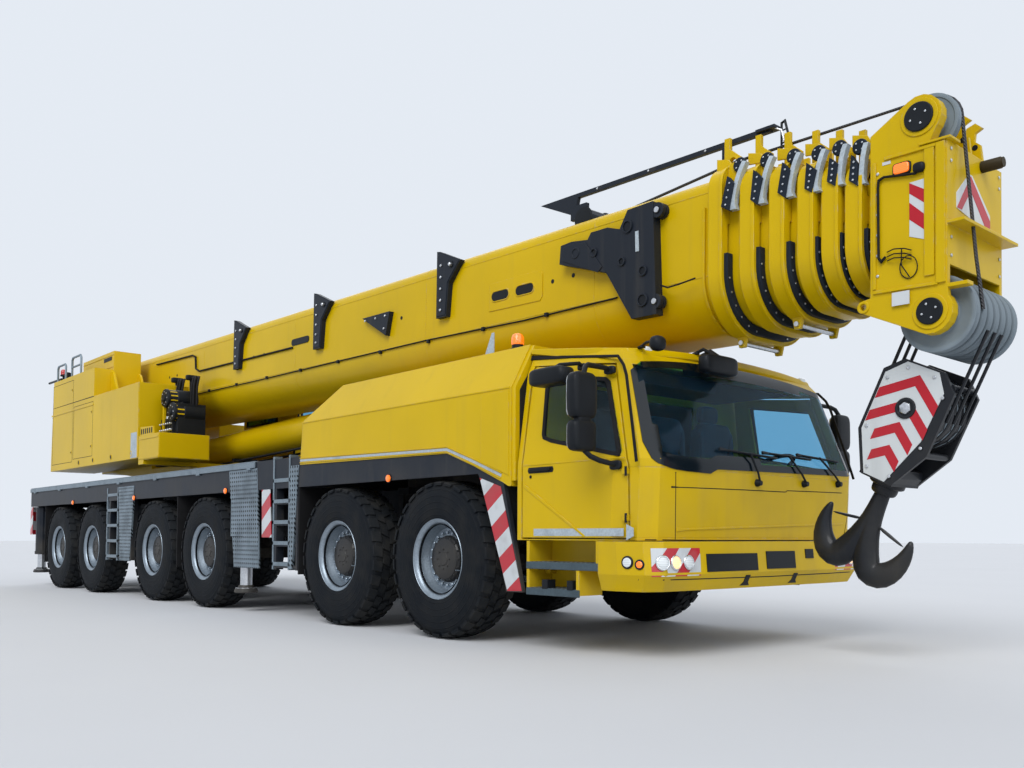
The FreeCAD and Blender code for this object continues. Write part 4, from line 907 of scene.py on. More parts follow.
class CRANE_OT_carrier(bpy.types.Operator):
    """Rails, ladders, warning plates and side lamps of the lower works"""
    bl_idname = "crane.carrier"
    bl_label = "Carrier fittings"

    def execute(self, context):
        rails, grids, lamps, bezels = Form(), Form(), Form(), Form()
        tapes, plates, ladders, flaps = Form(), Form(), Form(), Form()
        for label, side in SIDES:
            rails.block(-12240, -3420, *span(side, 1490, 1512), 1660, 1722)
            rails.block(-12240, -3420, *span(side, 1440, 1500), 1722, 1738)
            for x in range(-12000, -3500, 1400):
                rails.block(x, x + 90, *span(side, 1490, 1520), 1640, 1668)
            # the front box's cover, split where a beam slides out with its own part of it
            depth = span(side, 1476, 1496)
            grids.prism("XZ", [(-4090, 1655), (-3375, 1655), (-3353, 1322), (-4043, 1322)], *depth)
            grids.prism("XZ", [(-3980, 878), (-3324, 878), (-3300, 520), (-3930, 520)], *depth)
            if side < 0:
                grids.prism("XZ", [(-3698, 1322), (-3353, 1322), (-3324, 878), (-3698, 878)],
                            *depth)
            else:
                grids.prism("XZ", [(-4043, 1322), (-3708, 1322), (-3708, 878), (-3980, 878)],
                            *depth)
                grids.prism("XZ", [(-3380, 1322), (-3353, 1322), (-3324, 878), (-3380, 878)],
                            *depth)
            low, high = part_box("outrigger_beam_front_" + label)
            shift = CHASSIS.to_translation().x
            cover = Form()
            cover.block((low.x - shift) * 1000 - 12, (high.x - shift) * 1000 + 12, *depth,
                        882, 1318)
            cover.done("beam_cover_" + label, "outrigger_beam_front_" + label, "grid", "steel", 2)
            grids.prism("XZ", [(-2600, 1640), (-2420, 1640), (-2545, 530), (-2600, 530)],
                        *span(side, 1470, 1500))
            grids.prism("XZ", [(-7770, 1600), (-7160, 1600), (-7290, 520), (-7680, 520)],
                        *span(side, 1470, 1496))
            for x0, x1, drop in ((-2985, -2605, 1760), (-8250, -7780, 1600)):
                for x in (x0, x1 - 26):
                    ladders.block(x, x + 26, *span(side, 1400, 1500), 520, drop)
                for z in range(560, drop - 60, 228):
                    ladders.block(x0, x1, *span(side, 1400, 1500), z, z + 42)
            tapes.prism("XZ", [(585, 1372), (850, 1290), (1105, 462), (935, 455)],
                        *span(side, 1488, 1493))
            plates.prism("XZ", [(-3270, 1420), (-3075, 1405), (-3030, 870), (-3255, 870)],
                         *span(side, 1478, 1488))
            for x in (-9860, -7150, -4180, -740):
                bezels.turned("Y", (x, side * 1489, 1424), [(0, 42), (side * 8, 42)], 20)
                lamps.turned("Y", (x, side * 1493, 1424),
                             [(0, 34), (side * 14, 32), (side * 20, 22)], 20)
            flaps.block(-11390, -11370, *span(side, 1130, 1485), 420, 1420)
            flaps.block(-2440, -2420, *span(side, 1130, 1485), 480, 1400)
            flaps.block(-5640, -5620, *span(side, 1130, 1485), 480, 1410)
        rails.done("deck_rails", "carrier", "steel", "steel", 5)
        grids.done("grid_panels", "carrier", "grid", "steel", 2)
        ladders.done("ladders", "carrier", "steel", "steel", 3)
        tapes.done("mudguard_tape", "carrier", "stripe_side", "black", 0.5)
        plates.done("warning_plates", "carrier", "stripe_side", "black", 1)
        bezels.done("side_lamp_bezels", "carrier", "black", "trim", 1)
        lamps.done("side_lamps", "carrier", "amber", "trim")
        flaps.done("mud_flaps", "carrier", "rubber", "trim", 3)
        return {"FINISHED"}


def nose_plate(form, levels, y0, y1, z0, z1, thick, steps=8, rows=1):
    """A plate that follows the front skin between two widths and two heights."""
    rings = []
    for i in range(steps + 1):
        y = y0 + (y1 - y0) * i / steps
        heights = [z0 + (z1 - z0) * j / rows for j in range(rows + 1)]
        ring = [on_nose(levels, y, z, -3)[0] for z in heights]
        ring += [on_nose(levels, y, z, thick)[0] for z in reversed(heights)]
        rings.append(form.ring(ring))
    return form.skin(rings)


def nose_line(form, levels, spots, width, high, steps=10):
    """A strip on the front skin through (y, z) spots."""
    path = []
    for (y0, z0), (y1, z1) in zip(spots, spots[1:]):
        path += [on_nose(levels, y0 + (y1 - y0) * i / steps, z0 + (z1 - z0) * i / steps)
                 for i in range(steps)]
    path.append(on_nose(levels, *spots[-1]))
    return form.ribbon(*traced(path), width, high)


def roof_height(x, y):
    """Height of the crowned cab roof."""
    share = (x - 1040) / 1010
    plain = 2400 - 130 * share
    return plain + (30 + 35 * min(1, share)) * (1 - (y / 1335) ** 2)


class CRANE_OT_hood(bpy.types.Operator):
    """Engine hood's ridges, tape, seams, slats, bracket, beacon and the seal to the cab"""
    bl_idname = "crane.hood"
    bl_label = "Engine hood"

    def execute(self, context):
        ridges, tape, seams, panels, seal = Form(), Form(), Form(), Form(), Form()
        slats, dark = Form(), Form()
        edge = [(-2386, 1684), (150, 1634), (497, 1515), (868, 1378)]
        for side in (-1, 1):
            ridges.prism("XZ", band(edge, 17, 27), *span(side, 1496, 1509))
            ridges.prism("XZ", band(edge, -27, -17), *span(side, 1496, 1509))
            tape.prism("XZ", band(edge, -12, 12), *span(side, 1498, 1502.5))
            ridges.prism("XZ", [(-2340, 2074), (965, 2074), (965, 2090), (-2345, 2090)],
                         *span(side, 1490, 1506))
            panels.prism("XZ", [(610, 1500), (700, 1470), (958, 1375), (958, 2058), (610, 2058)],
                         *span(side, 1497, 1505))
        for x in (-1500, -700, 300):
            seams.ribbon([(x, -1285, 2450), (x, 1285, 2450)], (0, 0, 1), 8, 1.2)
        for row in range(10):
            x = -1400 + row * 60
            slats.prism("XZ", [(x, 2448), (x + 40, 2462), (x + 44, 2458), (x + 8, 2446)],
                        -520, 520)
        # black sheet under the slats: painted shade in the openings between the slats
        dark.block(-1420, -780, -540, 540, 2446, 2452)
        rear = [(-1445, 1330), (-1445, 2060), (-1240, 2380), (1240, 2380), (1445, 2060),
                (1445, 1330)]
        seal.prism("YZ", rear, 981, 1036)
        edge = [(-1492, 1330), (-1492, 2078), (-1286, 2441), (1286, 2441), (1492, 2078),
                (1492, 1330)]
        ridges.prism("YZ", edge, 983, 1024)
        seal.done("hood_seal", "carrier", "rubber", "trim", 2)
        ridges.done("hood_ridges", "carrier", "yellow", "yellow", 3)
        tape.done("hood_tape", "carrier", "reflector", "steel", 0.5)
        seams.done("hood_seams", "carrier", "rubber", "trim")
        panels.done("hood_panels", "carrier", "yellow", "yellow", 2)
        slats.done("hood_slats", "carrier", "lower", "black", 1)
        dark.done("hood_grille_shade", "carrier", "black", "trim", 1)
        bracket, base, dome = Form(), Form(), Form()
        bracket.prism("XZ", [(300, 2448), (430, 2448), (430, 2650), (400, 2650)], -1212, -1204)
        bracket.block(296, 440, -1240, -1200, 2446, 2456)
        base.turned("Z", (720, -1195, 2448), [(0, 62), (18, 62), (26, 50), (52, 48)], 28)
        dome.turned("Z", (720, -1195, 2500), [(0, 52), (10, 56), (60, 54), (84, 44), (96, 24),
                                              (99, 6)], 28)
        bracket.done("hood_bracket", "carrier", "reflector", "steel", 1.5)
        base.done("hood_beacon_base", "carrier", "black", "trim", 2)
        dome.done("hood_beacon", "carrier", "amber", "trim")
        return {"FINISHED"}


class CRANE_OT_cab(bpy.types.Operator):
    """Cab roof, windscreen, seals, wipers, lamps and front mirrors"""
    bl_idname = "crane.cab"
    bl_label = "Cab outside"

    def screen(self, part, name, finish, replaces=()):
        """The wrapped windscreen, split into its clear field and its dark border."""
        form = Form()
        low_edge = [(-1.0, 1560), (-0.985, 1480), (-0.965, 1430), (-0.93, 1402), (-0.83, 1372),
                    (-0.72, 1362), (-0.508, 1356), (-0.494, 1392), (0.92, 1425), (0.965, 1448),
                    (0.985, 1490), (1.0, 1560)]
        columns, rows = 64, 16
        grid = []
        for i in range(columns + 1):
            t = -1 + 2 * i / columns
            for first, second in zip(low_edge, low_edge[1:]):
                if t <= second[0]:
                    break
            share = (t - first[0]) / (second[0] - first[0])
            low = first[1] + (second[1] - first[1]) * share
            top = 2252 - 92 * t * t - 60 * max(0, abs(t) - 0.94) / 0.06
            line = []
            for j in range(rows + 1):
                z = low + (top - low) * j / rows
                y = t * (interpolate(CAB_LEVELS, z)[0] - 84)
                line.append(form.mesh.verts.new(on_nose(CAB_LEVELS, y, z, 7)[0]))
            grid.append(line)
        for first, second in zip(grid, grid[1:]):
            for j in range(rows):
                corners = (first[j], second[j], second[j + 1], first[j + 1])
                middle = sum((corner.co for corner in corners), Vector()) / 4
                clear = abs(middle.y) < 1255 and 1484 < middle.z < 2140
                if clear == (part == "clear"):
                    form.mesh.faces.new(corners)
        loose = [vert for vert in form.mesh.verts if not vert.link_faces]
        bmesh.ops.delete(form.mesh, geom=loose)
        bmesh.ops.solidify(form.mesh, geom=form.mesh.faces[:], thickness=6)
        return form.done(name, "carrier", finish, "glass", 0, replaces)

    def execute(self, context):
        cap, dark, rubber, seams, lens_parts = Form(), Form(), Form(), Form(), Form()
        rings = []
        for i in range(29):
            y = -1329 + 2658 * i / 28
            brow = 2270 + 65 * (1 - (y / 1335) ** 2)
            edge = on_nose(CAB_LEVELS, y, 2268, 10)[0].x
            ring = [(1034, y, 2360), (1034, y, roof_height(1034, y) - 14)]
            for k in range(9):
                x = 1048 + (edge - 1064) * k / 8
                ring.append((x, y, roof_height(x, y)))
            ring += [(edge + 1, y, brow - 16), (edge + 8, y, brow - 54), (edge - 60, y, 2225)]
            rings.append(cap.ring(ring))
        cap.skin(rings)
        cap.done("cab_roof", "carrier", "yellow", "yellow", 5)
        self.screen("clear", "windscreen_glass", "glass", ("windscreen",))
        self.screen("border", "windscreen_border", "dark_glass")
        # weather strips over the doors and down the front pillars
        for side in (-1, 1):
            spots = [(972, 2336), (1500, 2272), (2006, 2204), (2075, 2130), (2112, 2050),
                     (2200, 1730), (2282, 1412)]
            rubber.ribbon(*traced([on_side(x, z, side) for x, z in spots]), 20, 9)
            lens_parts.lump((2006, side * 1056, 2292), (40, 46, 22), 4)
        rubber.done("weather_strips", "carrier", "rubber", "trim", 2)
        lens_parts.done("marker_lamps", "carrier", "clear_lens", "trim")
        # seams of the front panel
        for spots in ([(-1170, 1243), (-300, 1252), (270, 1254), (290, 1266), (1170, 1276)],
                      [(-1450, 868), (-700, 862), (700, 862), (1450, 868)],
                      [(-1128, 1352), (-1122, 1240), (-1108, 870)],
                      [(1326, 1276), (1300, 1100), (1241, 902)]):
            nose_line(seams, CAB_LEVELS, spots, 7, 1.0)
        seams.done("cab_seams", "carrier", "rubber", "trim")
        crease = Form()
        nose_line(crease, CAB_LEVELS, [(-1100, 940), (0, 972), (1200, 1006)], 16, 7)
        crease.done("cab_crease", "carrier", "yellow", "yellow", 3)
        # wipers: foot, near and far ends of the blade
        for foot_y, foot_z, near, far in ((-140, 1312, (-620, 1540), (130, 1512)),
                                          (530, 1330, (-50, 1548), (650, 1530)),
                                          (1080, 1350, (450, 1560), (1100, 1535))):
            foot, normal = on_nose(CAB_LEVELS, foot_y, foot_z, 0)
            dark.stud(foot, normal, [(-4, 30), (16, 30), (30, 22), (44, 20)], 20)
            middle = ((near[0] + far[0]) / 2, (near[1] + far[1]) / 2)
            grip = on_nose(CAB_LEVELS, *middle, 40)[0]
            knee = foot.lerp(grip, 0.35) + normal * 34
            dark.pipe([foot + normal * 34, knee, grip], 9, 8)
            blade = [on_nose(CAB_LEVELS, near[0] + (far[0] - near[0]) * k / 8,
                             near[1] + (far[1] - near[1]) * k / 8, 24) for k in range(9)]
            dark.ribbon(*traced(blade), 12, 10, -9)
            spine = [on_nose(CAB_LEVELS, near[0] + (far[0] - near[0]) * k / 8,
                             near[1] + (far[1] - near[1]) * k / 8, 34)[0] for k in (1, 4, 7)]
            dark.pipe(spine, 6, 8)
        dark.done("wipers", "carrier", "black", "trim")
        mirrors, arms = Form(), Form()
        mirrors.lump((2240, -1198, 2286), (52, 62, 56), 2.6)
        mirrors.lump((2236, -466, 2214), (56, 208, 74), 5)
        arms.pipe([(2020, -1150, 2288), (2110, -1170, 2316), (2232, -1198, 2310)], 11, 10)
        arms.pipe([(2020, -500, 2326), (2120, -500, 2352), (2220, -480, 2290)], 13, 10)
        arms.pipe([(2020, -400, 2328), (2120, -410, 2352), (2220, -440, 2290)], 13, 10)
        arms.bolts([(2046, -1150, 2288), (2046, -500, 2322), (2046, -400, 2324)], "Z", 30, 12, 16)
        mirrors.done("front_mirrors", "carrier", "black", "trim")
        arms.done("front_mirror_arms", "carrier", "black", "trim")
        strips = Form()
        for side in (-1, 1):
            strip = [on_side(x, 920, side) for x in (2186, 2250)]
            strips.ribbon(*traced(strip), 56, 2.5)
        strips.done("cab_corner_tape", "carrier", "reflector", "steel")
        return {"FINISHED"}


class CRANE_OT_doors(bpy.types.Operator):
    """Side doors with their glass, handles, tape and mirrors"""
    bl_idname = "crane.doors"
    bl_label = "Side doors"

    def execute(self, context):
        for label, side in SIDES:
            name = "cab_door_" + label
            leaf = bmesh.new()
            leaf.from_mesh(frame["nodes"][name].data)
            outer = [vert for vert in leaf.verts if abs(vert.co.y) > 1.4863]
            bmesh.ops.delete(leaf, geom=outer, context="VERTS")
            mesh = bpy.data.meshes.new(name + "_leaf")
            leaf.to_mesh(mesh)
            leaf.free()
            mesh.materials.clear()
            settle(bpy.data.objects.new(name + "_leaf", mesh), name, "yellow",
                   0, (name,))

            glass, seal, tape, dark, mirrors = Form(), Form(), Form(), Form(), Form()
            window = [(1312, 1654), (1400, 1622), (2040, 1486), (2098, 1478), (2104, 1500),
                      (1930, 2020), (1900, 2046), (1310, 2142), (1278, 2130), (1300, 1680)]
            wide = [(1296, 1636), (1396, 1604), (2040, 1468), (2114, 1460), (2126, 1500),
                    (1946, 2026), (1908, 2064), (1306, 2160), (1258, 2146), (1282, 1672)]
            pane = [on_side(x, z, side, -14)[0] for x, z in wide]
            glass.plate(pane, (0, -side * 5, 0))
            glass.done("door_glass_" + label, name, "door_glass", "glass")
            seal.ribbon(*traced([on_side(x, z, side, -2) for x, z in window]), 30, 7, -16, True)
            seal.done("door_seal_" + label, name, "rubber", "trim", 2)
            tape.prism("XZ", [(1232, 892), (2160, 892), (2160, 948), (1232, 948)],
                       *span(side, 1479, 1482.5))
            tape.done("door_tape_" + label, name, "reflector", "steel")
            crease = Form()
            crease.ribbon([(1112, side * 1480, 1293), (1778, side * 1480, 890)], (0, side, 0),
                          15, 6)
            crease.ribbon([(1108, side * 1480, 1446), (2168, side * 1480, 1446)], (0, side, 0),
                          7, 2.5)
            crease.done("door_creases_" + label, name, "yellow", "yellow", 1)
            dark.prism("XZ", [(1172, 1378), (1440, 1378), (1452, 1400), (1440, 1424), (1172, 1424),
                              (1160, 1400)], *span(side, 1476, 1483))
            dark.lump((1306, side * 1494, 1404), (118, 9, 13), 5)
            dark.turned("Y", (1196, side * 1482, 1352), [(0, 13), (side * 5, 12)], 20)
            for z in (1020, 1350):
                dark.turned("Z", (2182, side * 1482, z - 34), [(0, 9), (68, 9)], 12)
            dark.done("door_handle_" + label, name, "black", "trim", 2)
            # housings of the main and wide mirrors, and of the kerb mirror on the right
            mirrors.lump((2008, side * 1744, 1876), (54, 118, 166), 5)
            mirrors.lump((2006, side * 1744, 1594), (52, 114, 112), 5)
            mirrors.lump((2016, side * 1744, 1708), (34, 70, 26), 4)
            mirrors.pipe([(1950, side * 1395, 2104), (1956, side * 1440, 2114),
                          (1968, side * 1640, 2112), (1990, side * 1690, 2090),
                          (2010, side * 1730, 2030)], 19, 12)
            mirrors.pipe([(2085, side * 1474, 1396), (2086, side * 1500, 1402),
                          (2066, side * 1622, 1422), (2040, side * 1690, 1450),
                          (2016, side * 1730, 1492)], 19, 12)
            mirrors.lump((1956, side * 1398, 2104), (52, 20, 30), 4)
            mirrors.lump((2084, side * 1480, 1398), (54, 16, 34), 4)
            if side < 0:
                mirrors.lump((1614, -1664, 2066), (188, 84, 68), 4.5)
                mirrors.pipe([(1660, -1378, 2170), (1660, -1420, 2190), (1640, -1600, 2160),
                              (1620, -1660, 2120)], 15, 12)
                mirrors.lump((1660, -1386, 2168), (40, 16, 26), 4)
            mirrors.done("door_mirrors_" + label, name, "black", "trim")
            faces = Form()
            faces.lump((1958, side * 1744, 1876), (9, 100, 148), 7)
            faces.lump((1958, side * 1744, 1594), (9, 96, 94), 7)
            faces.done("mirror_faces_" + label, name, "chrome", "chrome")
        return {"FINISHED"}


class CRANE_OT_bumper(bpy.types.Operator):
    """Bumper's lamps, striped panels, blank plates and step treads"""
    bl_idname = "crane.bumper"
    bl_label = "Bumper and steps"

    def execute(self, context):
        panels, plates, bezels, clear, amber, treads = [Form() for _ in range(6)]
        dark, lit, backs, lips = Form(), Form(), Form(), Form()
        for side in (-1, 1):
            nose_plate(panels, BUMPER_LEVELS, side * 1392, side * 925, 612, 808, 4, 12, 2)
            for y, form in ((1318, clear), (1195, lit), (1058, clear)):
                spot, normal = on_nose(BUMPER_LEVELS, side * y, 706, 3)
                bezels.stud(spot, normal, [(0, 55), (9, 55), (15, 49), (15, 45), (6, 44)], 32)
                form.stud(spot, normal, [(2, 45), (8, 44), (13, 36), (16, 22), (17, 8)], 32)
            for y, z, radius, form in ((1470, 708, 37, clear), (1448, 694, 27, amber)):
                spot, normal = on_nose(BUMPER_LEVELS, side * y, z, 0)
                dark.stud(spot, normal, [(-8, radius + 10), (7, radius + 9), (11, radius + 3)], 24)
                form.stud(spot, normal, [(4, radius), (12, radius - 4), (16, radius * 0.5)], 24)
        nose_plate(plates, BUMPER_LEVELS, -853, -214, 634, 765, 7, 8, 1)
        nose_plate(plates, BUMPER_LEVELS, -92, 313, 641, 778, 7, 6, 1)
        nose_plate(plates, BUMPER_LEVELS, 470, 590, 716, 792, 7, 2, 1)
        nose_line(dark, BUMPER_LEVELS, [(-1440, 588), (0, 580), (1440, 588)], 8, 1.5)
        for y in (-330, 330):
            nose_line(dark, BUMPER_LEVELS, [(y, 520), (y, 600)], 60, 3, 3)
        for side in (-1, 1):
            for x0, x1, z in ((1150, 1960, 690), (1150, 1720, 490)):
                treads.block(x0 + 8, x1 - 8, *span(side, 1245, 1474), z - 1, z + 5)
                lips.block(x0 - 2, x1 + 2, *span(side, 1470, 1486), z - 52, z + 4)
            backs.prism("XZ", [(1152, 470), (1700, 470), (1900, 640), (1990, 640), (1990, 872),
                               (1152, 872)], *span(side, 1226, 1234))
            for x in (1330, 1600):
                dark.block(x, x + 60, *span(side, 1400, 1486), 488, 560)
        panels.done("bumper_panels", "carrier", "stripe_face", "black")
        plates.done("blank_plates", "carrier", "black", "black", 1)
        bezels.done("headlamp_bezels", "carrier", "chrome", "chrome", 1)
        clear.done("headlamps", "carrier", "clear_lens", "trim")
        amber.done("turn_lamps", "carrier", "amber", "trim")
        treads.done("cab_steps", "carrier", "grid", "steel", 1)
        lips.done("step_lips", "carrier", "step", "steel", 5)
        backs.done("step_backs", "carrier", "yellow", "yellow", 2)
        lit.done("lit_headlamps", "carrier", "lit_lens", "trim")
        dark.done("bumper_seams", "carrier", "black", "trim")
        return {"FINISHED"}


class CRANE_OT_interior(bpy.types.Operator):
    """Cab floor, dash, steering wheel and seats"""
    bl_idname = "crane.interior"
    bl_label = "Cab interior"

    def seat(self, name, body, x, y, floor, top, wide, tall):
        """A sprung seat: base, crowned cushion, back and head rest."""
        base = Form()
        base.block(x - 210, x + 230, y - 170, y + 170, floor, floor + 40)
        for level in range(4):
            z = floor + 60 + (top - floor - 230) * level / 4
            base.lump((x + 10, y, z), (196 - level * 6, 176 - level * 6,
                                       (top - floor - 200) / 8 + 12), 4)
        base.block(x - 200, x + 236, y - wide + 30, y + wide - 30, top - 150, top - 112)
        base.lump((x + 40, y - side_of(y) * (wide - 6), top - 120), (90, 14, 26), 4)
        base.done(name + "_base", body, "black", "trim", 4)
        cushion = Form()
        cushion.lump((x, y, top - 56), (256, wide, 74), 5, 0.03, 14, 40,
                     [(-0.42, 9), (0.0, 9), (0.42, 9)])
        cushion.tilted((x, y, top - 56), "Y", -4)
        for edge in (-1, 1):
            cushion.lump((x + 6, y + edge * (wide - 34), top - 44), (236, 40, 72), 4, 0.02, 10, 28)
        pad = cushion.done(name + "_cushion", body, "cloth", "trim")
        back = Form()
        back.lump((x - 240, y, top + 290), (330, wide - 10, 62), 4.5, 0.04, 14, 40,
                  [(-0.55, 8), (-0.15, 8), (0.25, 8)])
        back.tilted((x - 240, y, top + 290), "Y", -82)
        for edge in (-1, 1):
            back.lump((x - 216, y + edge * (wide - 40), top + 280), (66, 38, 268), 4, 0.02, 10, 28)
        rest = back.done(name + "_back", body, "cloth", "trim")
        if tall:
            head = Form()
            head.lump((x - 268, y, top + 690), (48, 128, 82), 4, 0.04, 12, 32)
            head.done(name + "_head_rest", body, "cloth", "trim")
            posts = Form()
            for edge in (-60, 60):
                posts.pipe([(x - 268, y + edge, top + 560), (x - 268, y + edge, top + 660)], 7, 8)
            posts.done(name + "_posts", body, "bright", "steel")

    def execute(self, context):
        shell, dark, wheel = Form(), Form(), Form()
        shell.block(1120, 2200, -1290, 1290, 908, 932)
        dash = [(2226, 912), (2226, 1340), (2188, 1398), (2060, 1402), (1990, 1352), (1986, 1300),
                (2060, 1160), (2070, 912)]
        shell.prism("XZ", dash, -1250, 1250)
        shell.lump((2050, 725, 1400), (120, 250, 56), 5)
        shell.lump((1940, 270, 1240), (110, 90, 150), 5)
        shell.block(1090, 1150, -1240, 1240, 930, 1560)
        shell.done("cab_furniture", "carrier", "trim", "trim", 8, ("cab_interior",))
        inside = Form()
        inside.block(1062, 1074, -1225, 1225, 930, 2150)
        inside.block(1074, 1880, -1060, 1060, 2166, 2176)
        inside.done("cab_lining", "carrier", "lining", "trim")
        for y in (560, 650, 740, 830):
            dark.turned("X", (1986, y, 1388), [(-12, 36), (0, 36), (3, 30), (-2, 28)], 24)
        dark.block(1975, 1990, 140, 400, 1120, 1330)
        for y in (-900, -620, -340, 60):
            dark.prism("XZ", [(1978, 1300), (1990, 1346), (1998, 1346), (1990, 1296)], y, y + 170)
        dark.block(1930, 1950, -1180, -120, 2056, 2150)
        dark.done("dash_details", "carrier", "black", "trim", 3)
        rings = []
        for angle in turn_of(40):
            rings.append(wheel.ring([
                (1900 + (218 + 17 * math.cos(t)) * math.cos(angle),
                 725 + (218 + 17 * math.cos(t)) * math.sin(angle), 1500 + 17 * math.sin(t))
                for t in turn_of(10)]))
        wheel.skin(rings + [rings[0]], False)
        for angle in (20, 160, 270):
            a = math.radians(angle)
            wheel.pipe([(1900 + 40 * math.sin(a), 725 + 40 * math.cos(a), 1496),
                        (1900 + 212 * math.sin(a), 725 + 212 * math.cos(a), 1500)], 13, 8)
        wheel.turned("Z", (1900, 725, 1490), [(-16, 60), (12, 62), (22, 50)], 28)
        wheel.pipe([(1900, 725, 1490), (1900, 725, 1250)], 28, 14)
        wheel.tilted((1900, 725, 1500), "Y", -25)
        wheel.done("steering_wheel", "carrier", "black", "trim")
        for name, y, wide, tall in (("driver_seat", 725, 262, True), ("mate_seat", -725, 262, True),
                                    ("middle_seat", 0, 262, False)):
            self.seat(name, "carrier", 1500, y, 930, 1330, wide, tall)
        return {"FINISHED"}


def side_of(y):
    return -1 if y < 0 else 1


class CRANE_OT_upper_works(bpy.types.Operator):
    """Machinery house: door seams, tape, plates, rails, horn and beacon"""
    bl_idname = "crane.upper_works"
    bl_label = "Upper works"

    def execute(self, context):
        seams, dark, steel, yellow, tape = Form(), Form(), Form(), Form(), Form()
        face = -1450
        # door seams of the machinery house, with their locks and holes; the holes are black discs,
        # painted shade inside them
        for x0, x1, z0, z1 in ((-11200, -10120, 2110, 3480), (-10070, -9130, 2150, 3020)):
            seams.ribbon([(x0, face, z0), (x1, face, z0), (x1, face, z1), (x0, face, z1)],
                         (0, -1, 0), 7, 1.2, closed=True)
            for z in (z0 + 160, z1 - 160):
                yellow.turned("Y", (x1 - 60, face + 1, z), [(0, 26), (-6, 24)], 24)
                dark.turned("Y", (x1 - 60, face - 4, z), [(0, 15), (-4, 13)], 6)
        seams.ribbon([(-9105, face, 3100), (-11195, face, 3100)], (0, -1, 0), 7, 1.2)
        for x in (-9770, -9080, -8270, -7430):
            yellow.turned("Y", (x, face + 1, 2078), [(0, 44), (-7, 42), (-7, 33), (0, 33)],
                          28, False)
            # black disc: painted shade inside the hole
            dark.turned("Y", (x, face + 1, 2078), [(0, 33), (-3, 32)], 28)
        tape.block(-7450, -7210, face - 2.5, face + 1, 2010, 2380)
        yellow.prism("XZ", [(-7190, 2014), (-7146, 2014), (-7164, 3096), (-7208, 3096)],
                     face - 10, face + 1)
        yellow.prism("XZ", [(-11262, 2960), (-9110, 2960), (-9110, 2985), (-11258, 2985)],
                     face - 9, face + 1)
        # second tier: slot drawn as a black strip of painted shade, brace plate and the rail on top
        dark.block(-9560, -9200, -1156, -1148, 3730, 3790)
        for y0, y1 in ((-1190, -1150), (-760, -725)):
            yellow.prism("XZ", [(-9104, 3110), (-8780, 3110), (-9020, 3500), (-9104, 3540)],
                         y0, y1)
        for z in (3612, 3806):
            yellow.prism("XZ", [(-10590, z), (-9110, z), (-9110, z + 16), (-10590, z + 16)],
                         -1158, -1148)
        for path in ([(-10380, -1400, 3556), (-10380, -1400, 3850), (-10340, -1400, 3890),
                      (-9960, -1400, 3890), (-9920, -1400, 3850), (-9920, -1400, 3556)],
                     [(-10378, -1400, 3730), (-9922, -1400, 3730)],
                     [(-11150, -1400, 3556), (-11150, -1400, 3800), (-11110, -1400, 3840),
                      (-10760, -1400, 3840), (-10720, -1400, 3800), (-10720, -1400, 3556)]):
            steel.pipe(path, 17, 12)
        for x in (-10380, -9920, -11150, -10720):
            steel.turned("Z", (x, -1400, 3558), [(0, 40), (10, 40), (14, 24)], 20)
        steel.done("upper_rails", "turntable", "steel", "steel")
        # horn, beacon on its post and the rear bar
        dark.pipe([(-11180, -1300, 3556), (-11180, -1300, 3700)], 20, 12)
        dark.turned("Z", (-11180, -1300, 3690), [(0, 56), (14, 58), (30, 48)], 24)
        dark.pipe([(-11190, -1330, 3640), (-11900, -1330, 3646)], 19, 12)
        dark.turned("X", (-10900, -1330, 3640), [(-60, 20), (0, 26), (60, 58), (84, 76), (90, 76)],
                    24)
        dark.block(-10980, -10880, -1350, -1310, 3556, 3630)
        beacon = Form()
        beacon.turned("Z", (-11180, -1300, 3716), [(0, 46), (8, 52), (62, 50), (86, 40), (98, 20),
                                                   (100, 4)], 28)
        beacon.done("upper_beacon", "turntable", "red_lens", "trim")
        # comb rack below the valve block
        yellow.prism("XZ", [(-7120, 2306), (-6620, 2306), (-6640, 2420), (-7120, 2440)],
                     -1440, -1418)
        for k in range(6):
            x = -7080 + k * 76
            dark.prism("XZ", [(x, 2330), (x + 34, 2330), (x + 34, 2404), (x, 2406)], -1444, -1438)
        yellow.block(-6960, -6920, -1186, -1146, 2306, 2820)
        for z0, z1 in ((2250, 2272), (1972, 1996)):
            yellow.prism("XZ", [(-7130, z0), (-6410, z0), (-6410, z1), (-7130, z1)],
                         -1458, -1448)
        yellow.block(-6404, -6392, -1446, -730, 1968, 2314)
        # the left block of the house
        for x0, x1 in ((-11150, -10260), (-10200, -9310)):
            seams.ribbon([(x0, 1450, 2060), (x1, 1450, 2060), (x1, 1450, 2790), (x0, 1450, 2790)],
                         (0, 1, 0), 7, 1.2, closed=True)
            dark.turned("Y", ((x0 + x1) / 2, 1449, 2720), [(0, 22), (6, 20)], 24)
        # counterweight joints across the rear
        for z in (2300, 2620, 2940, 3260):
            seams.ribbon([(-11270 if z < 3100 else -11243, -1440, z), (-11262, -730, z)],
                         (-1, 0, 0), 9, 1.4)
        seams.done("house_seams", "turntable", "rubber", "trim")
        tape.done("house_tape", "turntable", "reflector", "steel")
        yellow.done("house_fittings", "turntable", "yellow", "yellow", 2)
        dark.done("house_dark_fittings", "turntable", "black", "trim", 1)
        return {"FINISHED"}


